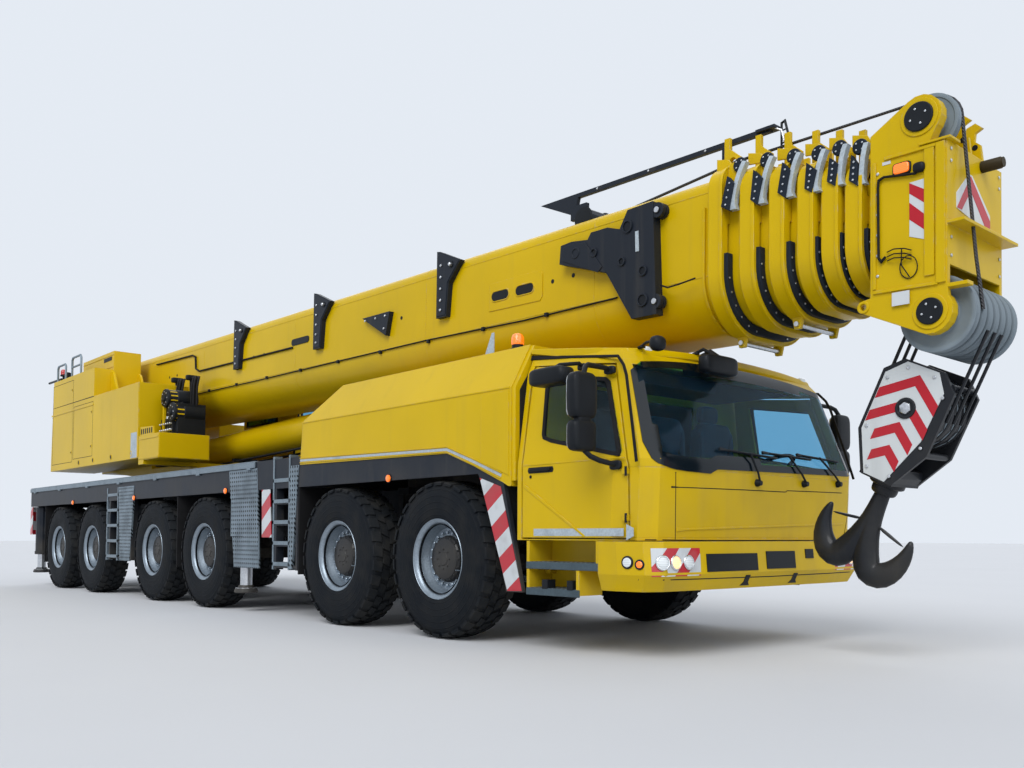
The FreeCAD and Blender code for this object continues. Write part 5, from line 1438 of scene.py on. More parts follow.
class CRANE_OT_valve_block(bpy.types.Operator):
    """Black valve block and reels with their pipes, and the rope on the winch"""
    bl_idname = "crane.valve_block"
    bl_label = "Valve block and winch"

    def execute(self, context):
        block, fittings, lines = Form(), Form(), Form()
        block.block(-7106, -6554, -1126, -716, 2312, 2766)
        for x, z in ((-6900, 2860), (-6660, 2640)):
            block.turned("Y", (x, -1186, z), [
                (0, 40), (0, 120), (6, 134), (40, 138), (48, 128), (150, 128), (158, 138),
                (452, 138), (452, 30)], 40)
            block.turned("Y", (x, -1186, z), [(2, 52), (-16, 48), (-22, 36), (-22, 12)], 24)
            fittings.bolt_circle("Y", (x, -1184, z), 92, turn_of(8), 9, -9)
        for i in range(6):
            x = -7060 + i * 72
            block.prism("XZ", [(x, 2336), (x + 52, 2336), (x + 52, 2560), (x, 2560)], -1164, -1120)
            fittings.turned("Y", (x + 26, -1164, 2390), [(0, 22), (-26, 22), (-34, 16)], 6)
            fittings.turned("Y", (x + 26, -1164, 2480), [(0, 17), (-30, 17), (-36, 12)], 12)
            fittings.turned("Z", (x + 26, -1140, 2558), [(0, 15), (34, 15), (44, 10)], 6)
        for i in range(6):
            x = -7034 + i * 72
            lines.pipe([(x, -1140, 2590), (x, -1140, 2650), (x + 14, -1090, 2730),
                        (x + 22, -1010, 2790)], 12, 10)
        # two bundles of pressure lines that rise to the boom foot
        for x0, y0 in ((-7020, -960), (-6640, -900)):
            for i in range(4):
                x, y = x0 + i * 38, y0 + (i % 2) * 34
                lines.pipe([(x, y, 2750), (x, y, 2900), (x - 16, y + 10, 3020),
                            (x - 70, y + 50, 3130), (x - 160, y + 100, 3190),
                            (x - 300, y + 130, 3204)], 15, 10)
        for x, y in ((-7310, -830), (-6930, -770)):
            block.lump((x, y, 3204), (34, 92, 40), 6)
            block.block(x - 20, x + 16, y - 30, y + 34, 2740, 3180)
        block.done("valve_block_cover", "turntable", "black", "black", 5)
        fittings.done("valve_block_fittings", "turntable", "bright", "steel", 1)
        lines.done("pressure_lines", "turntable", "rubber", "trim")
        low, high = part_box("winch_drum")
        rope = Form(MILLIMETRES)
        x, z = (low.x + high.x) * 500, (low.z + high.z) * 500
        turns = 34
        for layer, radius in ((0, 182), (1, 204)):
            profile = []
            for k in range(turns):
                y = -448 + k * 26.4 + layer * 6
                profile += [(y, radius - 8), (y + 6, radius + 7), (y + 13, radius + 12),
                            (y + 20, radius + 7)]
            rope.turned("Y", (x, 0, z), profile + [(460, radius - 8)], 40)
        rope.done("winch_rope", "turntable", "rope", "black")
        return {"FINISHED"}


class CRANE_OT_operator_cab(bpy.types.Operator):
    """The crane operator's cab: panes, seals, wiper, roof rim, consoles, seat and door"""
    bl_idname = "crane.operator_cab"
    bl_label = "Operator's cab"

    def execute(self, context):
        body = "operator_cab"
        glass, seal, dark = Form(), Form(), Form()
        front = [(-6640, 2120), (-6462, 2606), (-6512, 3004), (-6880, 3652)]
        # the wrapped front pane, held 12 mm outside its opening's edge
        for (x0, z0), (x1, z1) in zip(front, front[1:]):
            run = Vector((x1 - x0, 0, z1 - z0)).normalized()
            out = Vector((run.z, 0, -run.x))
            first = Vector((x0, 0, max(z0, 2236))) if z0 < 2236 else Vector((x0, 0, z0))
            if z0 < 2236:
                first.x = x0 + (x1 - x0) * (2236 - z0) / (z1 - z0)
            last = Vector((x1, 0, z1))
            if z1 > 3576:
                last = Vector((x0 + (x1 - x0) * (3576 - z0) / (z1 - z0), 0, 3576))
            corners = [(p.x, y, p.z) for p, y in ((first, 786), (last, 786), (last, 1404),
                                                  (first, 1404))]
            glass.plate([Vector(c) + out * 2 for c in corners], out * 6)
        path = [(-6596, 2240), (-6458, 2606), (-6508, 3004), (-6832, 3572)]
        loop = [(x, 786, z) for x, z in path] + [(x, 1404, z) for x, z in reversed(path)]
        normals = [(1, 0, -0.3), (1, 0, 0), (1, 0, 0.3), (1, 0, 0.5)]
        seal.ribbon(loop, normals + normals[::-1], 34, 14, -2, True)
        glass.block(-8212, -7138, 742, 748, 2688, 3572)
        seal.ribbon([(-8200, 730, 2700), (-7150, 730, 2700), (-7150, 730, 3560),
                     (-8200, 730, 3560)], (0, -1, 0), 30, 6, -14, True)
        glass.block(-8338, -8332, 838, 1352, 2888, 3572)
        seal.ribbon([(-8340, 850, 2900), (-8340, 1340, 2900), (-8322, 1340, 3560),
                     (-8322, 850, 3560)], (-1, 0, 0), 30, 9, -10, True)
        glass.done("operator_glass", body, "glass", "glass")
        seal.done("operator_seals", body, "rubber", "trim", 2)
        # wiper, grab rail, lamps, aerial and roof rim
        dark.pipe([(-6452, 1090, 2560), (-6430, 1090, 2640), (-6448, 1030, 3010)], 9, 8)
        dark.pipe([(-6446, 1000, 2740), (-6470, 1010, 3010)], 7, 8)
        dark.turned("X", (-6470, 1090, 2560), [(0, 30), (24, 28), (34, 20)], 20)
        dark.pipe([(-6660, 760, 2060), (-6600, 720, 2090), (-6440, 716, 2600), (-6470, 716, 3000),
                   (-6560, 752, 3030)], 15, 10)
        for y in (840, 1350):
            dark.lump((-6890, y, 3716), (46, 62, 40), 4)
        dark.pipe([(-8200, 1100, 3690), (-8200, 1100, 3850)], 8, 8)
        dark.done("operator_fittings", body, "black", "trim")
        rim = Form()
        rim.prism("XZ", [(-8276, 3690), (-6898, 3690), (-6884, 3712), (-8276, 3712)], 722, 1452)
        rim.done("operator_roof", body, "yellow", "yellow", 6)
        console, levers = Form(), Form()
        for y in (822, 1366):
            console.lump((-7560, y, 2560), (230, 40, 70), 5)
            levers.pipe([(-7420, y, 2610), (-7400, y, 2720)], 9, 8)
            levers.lump((-7398, y, 2738), (20, 20, 32), 3)
        console.lump((-6860, 1095, 2230), (110, 230, 130), 5)
        console.block(-8240, -6760, 785, 1405, 2012, 2022)
        console.lump((-6800, 880, 2560), (40, 90, 110), 5)
        console.done("operator_consoles", body, "trim", "trim", 4)
        levers.done("operator_levers", body, "black", "trim")
        seat = Form()
        seat.lump((-7596, 1095, 2400), (268, 248, 96), 5, 0.02, 14, 40, [(-0.3, 8), (0.2, 8)])
        seat.done("operator_cushion", body, "cloth", "trim")
        back = Form()
        back.lump((-7830, 1095, 2760), (372, 246, 86), 5, 0.02, 14, 40, [(-0.5, 8), (0.0, 8),
                                                                         (0.45, 8)])
        back.tilted((-7830, 1095, 2760), "Y", -90)
        back.done("operator_back", body, "cloth", "trim")
        head = Form()
        head.lump((-7830, 1095, 3226), (56, 130, 90), 4, 0.03, 12, 32)
        head.done("operator_head_rest", body, "cloth", "trim")
        base = Form()
        base.block(-7862, -7338, 852, 1338, 2008, 2310)
        base.done("operator_seat_base", body, "black", "trim", 12)
        door = "operator_door"
        pane, rubber, handle = Form(), Form(), Form()
        pane.block(-7852, -7048, 1472, 1477, 2488, 3552)
        pane.done("operator_door_glass", door, "door_glass", "glass")
        rubber.ribbon([(-7840, 1490, 2500), (-7060, 1490, 2500), (-7060, 1490, 3540),
                       (-7840, 1490, 3540)], (0, 1, 0), 30, 6, -14, True)
        rubber.done("operator_door_seal", door, "rubber", "trim", 2)
        handle.lump((-7850, 1500, 2400), (26, 12, 74), 4)
        handle.pipe([(-7000, 1488, 2700), (-7000, 1520, 2720), (-7000, 1520, 3200),
                     (-7000, 1488, 3220)], 12, 10)
        handle.done("operator_door_handle", door, "black", "trim")
        return {"FINISHED"}


def capsule(u0, u1, z, radius, steps=8):
    """Outline of a slot with round ends."""
    points = []
    for i in range(steps + 1):
        angle = math.pi * i / steps - math.pi / 2
        points.append((u1 + radius * math.cos(angle), z + radius * math.sin(angle)))
    return points + [(u0 - (u - u1), 2 * z - w) for u, w in points]


class CRANE_OT_boom(bpy.types.Operator):
    """Weld seams, windows, bracket fittings and cables along the base section"""
    bl_idname = "crane.boom"
    bl_label = "Boom"

    def execute(self, context):
        body = "boom_base"
        ribs, dark, plates, steel, wire = [Form(BOOM) for _ in range(5)]
        for side in (-1, 1):
            y = side * 560
            # weld beads: lengthwise below and above, and round the section
            for w in (165, 818):
                ribs.ribbon([(1500, y, w), (13540, y, w)], (0, side, 0), 10, 3)
            for u in (1480, 4300, 7050, 9850, 12300):
                path = [(u, side * v, w) for v, w in section_path(0, 0) if -180 < w < 930]
                normal = [(0, side * (v if w < 830 else 300), 0 if 165 < w < 820 else
                           (300 if w > 800 else w - 165)) for v, w in section_path(0, 0)
                          if -180 < w < 930]
                ribs.ribbon(path, normal, 9, 2.5)
            # bare oval windows on a raised plate; the openings are black shapes, painted shade
            # inside them
            for u0, u1, w in ((10980, 11140, 434), (11330, 11490, 431)):
                dark.prism("XZ", capsule(u0, u1, w, 44), *sorted((y + side, y + side * 12)))
                ribs.ribbon([(u, y + side * 8, z) for u, z in capsule(u0, u1, w, 50)],
                            (0, side, 0), 9, 7, -6, True)
            plate = [(10896, 300), (11620, 290), (11650, 330), (11650, 540), (11600, 575),
                     (10896, 568)]
            ribs.prism("XZ", plate, *sorted((y - side, y + side * 8)))
            # round holes and slots drawn as black shapes: painted shade inside them
            for u, w in ((11780, 439), (12045, 445), (3000, 500), (3300, 500), (5900, 470),
                         (6200, 470), (9400, 470)):
                dark.turned("Y", (u, y, w), [(-side, 21), (side * 3, 20)], 24)
            dark.prism("XZ", capsule(7000, 7360, 520, 42), *sorted((y + side, y + side * 9)))
            dark.prism("XZ", capsule(2100, 2480, 420, 34), *sorted((y + side, y + side * 5)))
        # bolts and lips of the three storage brackets
        for u in (5400, 7600, 10107):
            outline = [(u + 14, 362), (u + 14, 1022), (u + 55, 1012), (u + 366, 880),
                       (u + 184, 690), (u + 152, 362)]
            plates.prism("XZ", outline, -626, -618)
            for w in (420, 520, 640, 760, 880):
                steel.bolts([(u + 80, -626, w)], "Y", 15, -12)
            # black disc round the pin: painted shade in the pin's hole
            dark.turned("Y", (u + 250, -626, 860), [(0, 34), (-8, 32)], 24)
            steel.turned("Y", (u + 250, -632, 860), [(0, 20), (-22, 20), (-28, 14)], 20)
        # forked jib plate: raised edge, holes drawn as black discs of painted shade, tape, hook and
        # hinge ears
        plates.prism("XZ", [(12000, 560), (12010, 680), (12110, 690), (12280, 668), (12480, 420),
                            (12430, 380)], -658, -648)
        for u, w, radius in ((12160, 600, 34), (12380, 560, 26), (12760, 700, 40),
                             (12930, 300, 30), (12930, 60, 40), (12700, 420, 24)):
            dark.turned("Y", (u, -650, w), [(0, radius), (-5, radius - 1)], 28)
            plates.turned("Y", (u, -650, w), [(0, radius + 16), (-14, radius + 14),
                                              (-14, radius + 1), (0, radius + 1)], 28, False)
        tape = Form(BOOM)
        tape.prism("XZ", [(12852, 470), (12888, 470), (12880, 640), (12846, 640)], -656, -649)
        tape.done("fork_slot", body, "reflector", "steel", 1)
        steel.turned("Z", (12690, -612, 700), [(0, 16), (54, 16), (60, 10)], 16)
        steel.pipe([(12690, -612, 740), (12720, -612, 762), (12744, -612, 744)], 5, 8)
        for u, w in ((13044, 769), (13025, 31)):
            plates.turned("Y", (u + 26, -646, w), [(0, 62), (40, 62)], 24)
            plates.turned("Y", (u + 26, -566, w), [(0, 62), (-30, 62)], 24)
            steel.turned("Y", (u + 26, -660, w), [(0, 24), (96, 24)], 20)
            # black ring round the pin: painted shade in the ear's hole
            dark.turned("Y", (u + 26, -648, w), [(0, 30), (-4, 30)], 24)
        # bolts of the triangular plate, and the roller and end of the long bar
        for u, w in ((8770, 520), (8980, 520), (9170, 520), (9150, 380)):
            steel.bolts([(u, -620, w)], "Y", 14, -12)
        for y0 in (-345, -85):
            dark.turned("Y", (11940, y0, 1030), [(0, 28), (0, 104), (12, 112), (12, 28)], 32)
        plates.prism("XZ", [(13790, 1262), (13960, 1262), (13960, 1285), (13790, 1285)], -350, -250)
        steel.pipe([(13930, -316, 1274), (13990, -300, 1240), (14010, -290, 1150)], 7, 8)
        for u in (12100, 12700, 13300):
            steel.bolts([(u, -321, 1270)], "Y", 11, -9)
        # cables clipped along the side and over the hinge
        wire.pipe([(3300, -572, 130), (6000, -572, 132), (9857, -572, 158), (11408, -572, 136),
                   (12580, -572, 152)], 8, 8)
        wire.pipe([(13078, -600, 163), (13180, -640, 120), (13290, -636, 128),
                   (13437, -622, 151)], 7, 8)
        wire.pipe([(2500, -575, 760), (3900, -575, 740), (4020, -578, 700), (4040, -578, 520),
                   (4160, -575, 470), (7000, -575, 455)], 13, 8)
        for u in range(3600, 12500, 900):
            dark.block(u, u + 34, -588, -558, 122, 160)
        dark.done("boom_windows", body, "black", "trim", 1)
        ribs.done("boom_seams", body, "yellow", "yellow", 1)
        plates.done("bracket_plates", body, "lower", "black", 2)
        steel.done("bracket_bolts", body, "bright", "steel", 1)
        wire.done("boom_cables", body, "rubber", "trim")
        # foot pin covers and their bolts
        pins = Form(BOOM)
        for side in (-1, 1):
            pins.turned("Y", (0, side * 690, 0), [(0, 150), (side * 16, 146), (side * 16, 60),
                                                   (side * 26, 52)], 36)
            pins.bolt_circle("Y", (0, side * 706, 0), 112, turn_of(8), 13, side * 11)
        pins.done("foot_pin_covers", "turntable", "lower", "black", 2)
        return {"FINISHED"}


COLLAR_SPOTS = (13620, 13880, 14110, 14320, 14490, 14650)
# per collar: the black cap, then the wear pad's corners, all along and above the boom
CAPS = ((13793, 961), (14004, 950), (14206, 930), (14384, 914), (14527, 919), (14661, 900))
PADS = (((13745, 867), (13689, 648), (13762, 600), (13803, 801)),
        ((13949, 870), (13924, 652), (13985, 600), (14027, 790)),
        ((14170, 876), (14130, 662), (14196, 606), (14231, 804)),
        ((14342, 834), (14327, 650), (14386, 607), (14422, 762)),
        ((14500, 839), (14482, 670), (14547, 622), (14565, 776)),
        ((14646, 827), (14627, 649), (14692, 597), (14691, 751)))


class CRANE_OT_collars(bpy.types.Operator):
    """Wear pads, strips and ribs at the collars, skins of the sections, and hoist rope"""
    bl_idname = "crane.collars"
    bl_label = "Boom collars"

    def execute(self, context):
        for number in range(6):
            body = "boom_base" if number == 0 else "telescope_%d" % number
            black, grey, steel, yellow = [Form(BOOM) for _ in range(4)]
            front = COLLAR_SPOTS[number] + 65
            half = 560 - 38 * number
            follow = COLLAR_SPOTS[number + 1] - 65 if number < 5 else 14775
            lip = min(34, (follow - front) * 0.5)
            cap_u, cap_w = CAPS[number]
            for side in (-1, 1):
                # round cap on its arm ahead of the upper corner
                y = side * (half - 34)
                yellow.prism("XZ", [(front - 6, cap_w - 190), (front - 6, cap_w + 26),
                                    (cap_u - 20, cap_w + 52), (cap_u + 36, cap_w + 30),
                                    (cap_u + 30, cap_w - 60)], *sorted((y, y + side * 14)))
                black.turned("Y", (cap_u, y + side * 12, cap_w),
                             [(0, 56), (side * 18, 56), (side * 24, 50)], 28)
                steel.bolt_circle("Y", (cap_u, y + side * 36, cap_w), 32, quarters(45), 7,
                                  side * 6)
                # slanted pad with its bolts, held over the collar's front edge
                near, reach = side * (half + 30), side * (half + 76)
                corners = [(u - 6, w) for u, w in PADS[number]]
                black.prism("XZ", corners, *sorted((near, reach)))
                for k in range(4):
                    t = (k + 0.5) / 4
                    u, w = [sum(corner[i] * share for corner, share in
                                zip(corners, (0.5 - t / 2, t / 2, t / 2, 0.5 - t / 2)))
                            for i in (0, 1)]
                    steel.bolts([(u, reach, w)], "Y", 8, side * 7)
                # grey strip that curves from the cap down beside the pad
                tip_u, tip_w = corners[2][0] + 22, corners[2][1] + 6
                bend = []
                for k in range(9):
                    t = k / 8
                    bend.append((tip_u + (cap_u + 62 - tip_u) * t ** 1.7,
                                 side * (half + 44 - 40 * t ** 3), tip_w + (cap_w + 4 - tip_w) * t))
                grey.ribbon(bend, [(0, side, 0)] * 9, 36, 22, -30)
                # black strip along the belly's front edge
                hoop(black, number, -30, 36, front - 4, front + lip, 320 + 17 * number, -1000,
                     side)
                path = [(v, w) for v, w in section_path(number, 14) if w < 300 + 17 * number]
                for v, w in path[1:-2:2]:
                    steel.bolts([(front + lip, side * v, w)], "X", 8, 6)
                hoop(yellow, number, -8, 61, front - 129, front - 1, 2000, -2000, side)
                hoop(yellow, number, 58, 70, front - 24, front + 2, 2000, -2000, side)
                # boss round the ear's hole, and the web that stiffens the ear
                ear = 935 - 38 * number + 140
                ear_y = side * (half - 170)
                yellow.turned("Y", (COLLAR_SPOTS[number], ear_y, ear),
                              [(0, 46), (side * 12, 44), (side * 12, 30), (0, 30)], 24, False)
                web = [(front - 140, cap_w + 30), (front - 140, cap_w + 120),
                       (front - 30, cap_w + 90), (front + 20, cap_w + 10)]
                yellow.prism("XZ", web, *sorted((side * (half - 60), side * (half - 76))))
            if number in (0, 2):
                low = 38 * number - 235
                steel.turned("Y", (COLLAR_SPOTS[number], -285, low - 95),
                             [(0, 19), (570, 19)], 16)
            if number == 0:
                for side in (-1, 1):
                    hoop(yellow, 0, -2, 24, 13474, 13494, 720, -2000, side)
            black.done("wear_pads_%d" % (number + 1), body, "pad", "black", 2)
            grey.done("wear_strips_%d" % (number + 1), body, "reflector", "steel", 1)
            steel.done("pad_bolts_%d" % (number + 1), body, "bright", "steel")
            yellow.done("collar_ribs_%d" % (number + 1), body, "yellow", "yellow", 2)
        # skins that round the folded plates of each section
        for number in range(7):
            body = "boom_base" if number == 0 else "telescope_%d" % number
            skin = Form(BOOM)
            start = max(1000 + 250 * number, 1102)
            end = COLLAR_SPOTS[number] - 60 if number < 6 else 14774
            for side in (-1, 1):
                hoop(skin, number, -9, 0.8 if number == 0 else 0.25, start, end,
                     2000, -2000, side)
            skin.done("section_skin_%d" % number, body, "yellow", "yellow")
        # small ladder-like rope keeper on the second collar's ear
        keeper = Form(BOOM)
        keeper.pipe([(13931, -205, 1120), (13931, -205, 1339), (13960, -205, 1350),
                     (14013, -205, 1148)], 9, 8)
        for w in (1180, 1230, 1280):
            keeper.pipe([(13931, -205, w), (13985, -205, w + 4)], 6, 8)
        keeper.done("rope_keeper", "telescope_1", "black", "trim")
        # hoist rope: wound off the winch, stretched between collars, led over the top sheave
        thick = context.scene.crane_sizes.rope_radius * 1000
        spots = [(13560, -230, 1142)] + [(u, -230, 1142) for u in COLLAR_SPOTS[1:]]
        spots.append((15060, -230, 1142))
        low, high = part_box("winch_drum")
        drum = BOOM.inverted() @ Vector(((low.x + high.x) / 2, -0.1, high.z))
        line = Form(BOOM)
        line.pipe([(drum.x, -100, drum.z - 40), (1350, -140, 700), (1700, -190, 962),
                   (2100, -230, 986), (12000, -230, 986), spots[0]], thick, 10)
        line.done("hoist_rope_0", "boom_base", "rope", "black")
        for number, (first, last) in enumerate(zip(spots, spots[1:]), 1):
            line = Form(BOOM)
            line.pipe([Vector(first).lerp(Vector(last), k / 12) for k in range(13)],
                      thick - 0.3 * number, 10)
            before = "boom_base" if number == 1 else "telescope_%d" % (number - 1)
            piece = line.done("hoist_rope_%d" % number, None, "rope", "black")
            "telescope_%d" % number
            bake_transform(piece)
        line = Form(BOOM)
        points = [spots[-1], (15117, -230, 1142)]
        points += [(15117 + 195 * math.sin(a), -230, 947 + 195 * math.cos(a))
                   for a in [math.radians(k * 15) for k in range(1, 7)]]
        points += [(15340, -231, 640), (15400, -236, 0), (15446, -240, -350)]
        line.pipe(points, thick, 10)
        line.done("hoist_rope_fall", "telescope_6", "rope", "black")
        guides = Form(BOOM)
        guides.block(1680, 1720, -260, -120, 920, 960)
        guides.turned("Y", (1700, -250, 950), [(0, 10), (0, 34), (16, 18), (104, 18), (120, 34),
                                               (120, 10)], 24)
        guides.prism("XZ", [(13500, 930), (13560, 930), (13560, 1120), (13520, 1120)], -262, -250)
        guides.turned("Y", (13540, -262, 1118), [(0, 8), (0, 22), (16, 12), (48, 12), (64, 22),
                                                 (64, 8)], 20)
        guides.done("rope_guides", "boom_base", "lower", "black", 2)
        return {"FINISHED"}


class CRANE_OT_head(bpy.types.Operator):
    """Boom head: caps, stripes, plates, lamp, cables, roller and sheave discs"""
    bl_idname = "crane.head"
    bl_label = "Boom head"

    def execute(self, context):
        body = "telescope_6"
        yellow, dark, steel, white, wire, lens_parts = [Form(BOOM) for _ in range(6)]
        for side in (-1, 1):
            y = side * 430
            # round caps of the two sheave pins
            spots = [(15188, -355, 88)] + ([(15117, 947, 98)] if side < 0 else [])
            for u, w, radius in spots:
                yellow.turned("Y", (u, y, w), [(0, radius + 30), (side * 8, radius + 28),
                                               (side * 8, radius - 2), (0, radius - 4)], 40)
                dark.turned("Y", (u, y, w), [(0, radius), (side * 18, radius - 1),
                                             (side * 22, radius - 6), (side * 22, 20)], 40)
                steel.bolt_circle("Y", (u, y + side * 22, w), radius * 0.55,
                                  quarters(20), 8, side * 7)
            # sunk stripe plate beside the head, with slanting bars
            plate = [(15051, 524), (15051, 164), (15189, 112), (15189, 530)]
            white.prism("XZ", plate, *sorted((y, y + side * 4)))
        bars = Form(BOOM)
        for side in (-1, 1):
            y = side * 434
            for corners in ([(15051, 522), (15051, 452), (15189, 336), (15189, 432)],
                            [(15051, 391), (15051, 278), (15189, 156), (15189, 257)]):
                bars.prism("XZ", corners, *sorted((y, y + side * 1.5)))
        # a red chevron on its white plate across the front
        white.prism("YZ", [(-300, 330), (-300, 430), (-110, 600), (-60, 600), (225, 390),
                           (225, 260)], 15299, 15304)
        bars.prism("YZ", [(-296, 332), (-226, 332), (-85, 490), (-85, 590)], 15303, 15306)
        bars.prism("YZ", [(-85, 490), (-85, 590), (222, 352), (222, 262), (180, 262)],
                   15303, 15306)
        bars.done("head_stripes", body, "stripe_red", "trim")
        # lamp, its cable, wire loops and two bare plates
        lens_parts.lump((15000, -440, 634), (54, 16, 34), 5)
        dark.lump((15000, -434, 634), (64, 10, 43), 5)
        dark.lump((15122, -446, 606), (40, 24, 34), 3)
        wire.pipe([(15122, -446, 600), (15096, -448, 572), (14880, -446, 604),
                   (14842, -446, 590), (14838, -446, 545), (14842, -446, 60),
                   (14862, -448, 30), (14893, -448, 58)], 9, 8)
        for w in (84, 52, 24):
            wire.pipe([(14900, -440, w + 6), (14960, -466, w + 10), (15030, -464, w),
                       (15070, -442, w - 16)], 4, 8)
        loop = [(15050 + 60 * math.cos(a), -444 - 8 * math.sin(a), -40 + 74 * math.sin(a))
                for a in [2 * math.pi * k / 18 for k in range(19)]]
        wire.pipe(loop, 3.5, 8)
        wire.pipe([(15000, -440, 90), (15006, -456, -20), (15060, -450, -110)], 4, 8)
        white.prism("XZ", [(14938, -196), (15058, -196), (15058, -286), (14938, -286)], -451, -446)
        white.prism("XZ", [(14862, 690), (14920, 690), (14920, 712), (14862, 712)], -433, -429)
        # rolled edges and ribs of the side plates
        for side in (-1, 1):
            y = side * 430
            yellow.prism("XZ", [(14880, 742), (15290, 742), (15290, 720), (14880, 720)],
                         *sorted((y - side, y + side * 14)))
            yellow.prism("XZ", [(14800, -180), (15240, -190), (15240, -168), (14800, -158)],
                         *sorted((y - side, y + side * 14)))
            yellow.prism("XZ", [(14796, -150), (14818, -150), (14818, 720), (14796, 720)],
                         *sorted((y - side, y + side * 10)))
            steel.bolts([(14830, y, w) for w in (-60, 80, 220, 360, 500, 640)], "Y", 11,
                        side * 9)
            yellow.turned("Y", (14725, side * 430, -257), [(0, 44), (side * 10, 42),
                                                           (side * 10, 25), (0, 23)], 24, False)
            yellow.prism("XZ", [(15152, -120), (15218, -120), (15218, 742), (15152, 742)],
                         *sorted((y - side, y + side * 12)))
        yellow.block(15120, 15330, -452, -300, 748, 764)
        steel.bolts([(15300, y, w) for y in (-380, 380) for w in (0, 120, 620, 700)], "X", 12, 9)
        # roller across the front, above its two horns
        roller = Form(BOOM)
        roller.turned("X", (15296, 100, 700), [(0, 32), (6, 40), (130, 40), (140, 34), (150, 34)],
                      28)
        roller.done("head_roller", body, "roller", "trim", 1)
        for y in (-62, 128):
            dark.turned("Y", (15243, y, 860), [(0, 20), (29, 20)], 20)
        # grooved discs over the lower sheaves and the upper one
        discs = Form(BOOM)
        for i in range(7):
            y = -330 + 100 * i
            discs.turned("Y", (15188, y, -355), [
                (-1, 70), (-1, 140), (6, 146), (6, 214), (0, 222), (0, 249), (3, 254), (10, 252),
                (24, 236), (30, 233), (36, 236), (50, 252), (57, 254), (60, 249), (60, 222),
                (54, 214), (54, 146), (61, 140), (61, 70)], 56)
        discs.turned("Y", (15117, -290, 947), [
            (-1, 66), (-1, 110), (6, 116), (6, 166), (0, 172), (0, 194), (3, 198), (10, 197),
            (24, 184), (30, 182), (36, 184), (50, 197), (57, 198), (60, 194), (60, 172), (54, 166),
            (54, 116), (61, 110), (61, 66)], 56)
        discs.done("sheave_discs", body, "sheave", "sheave", 0, ("head_sheaves",))
        yellow.done("head_ribs", body, "yellow", "yellow", 2)
        dark.done("head_dark_fittings", body, "black", "trim", 1)
        steel.done("head_bolts", body, "bright", "steel")
        white.done("head_plates", body, "reflector_white", "trim", 0.5)
        wire.done("head_cables", body, "rubber", "trim")
        lens_parts.done("head_lamp", body, "amber", "trim")
        return {"FINISHED"}


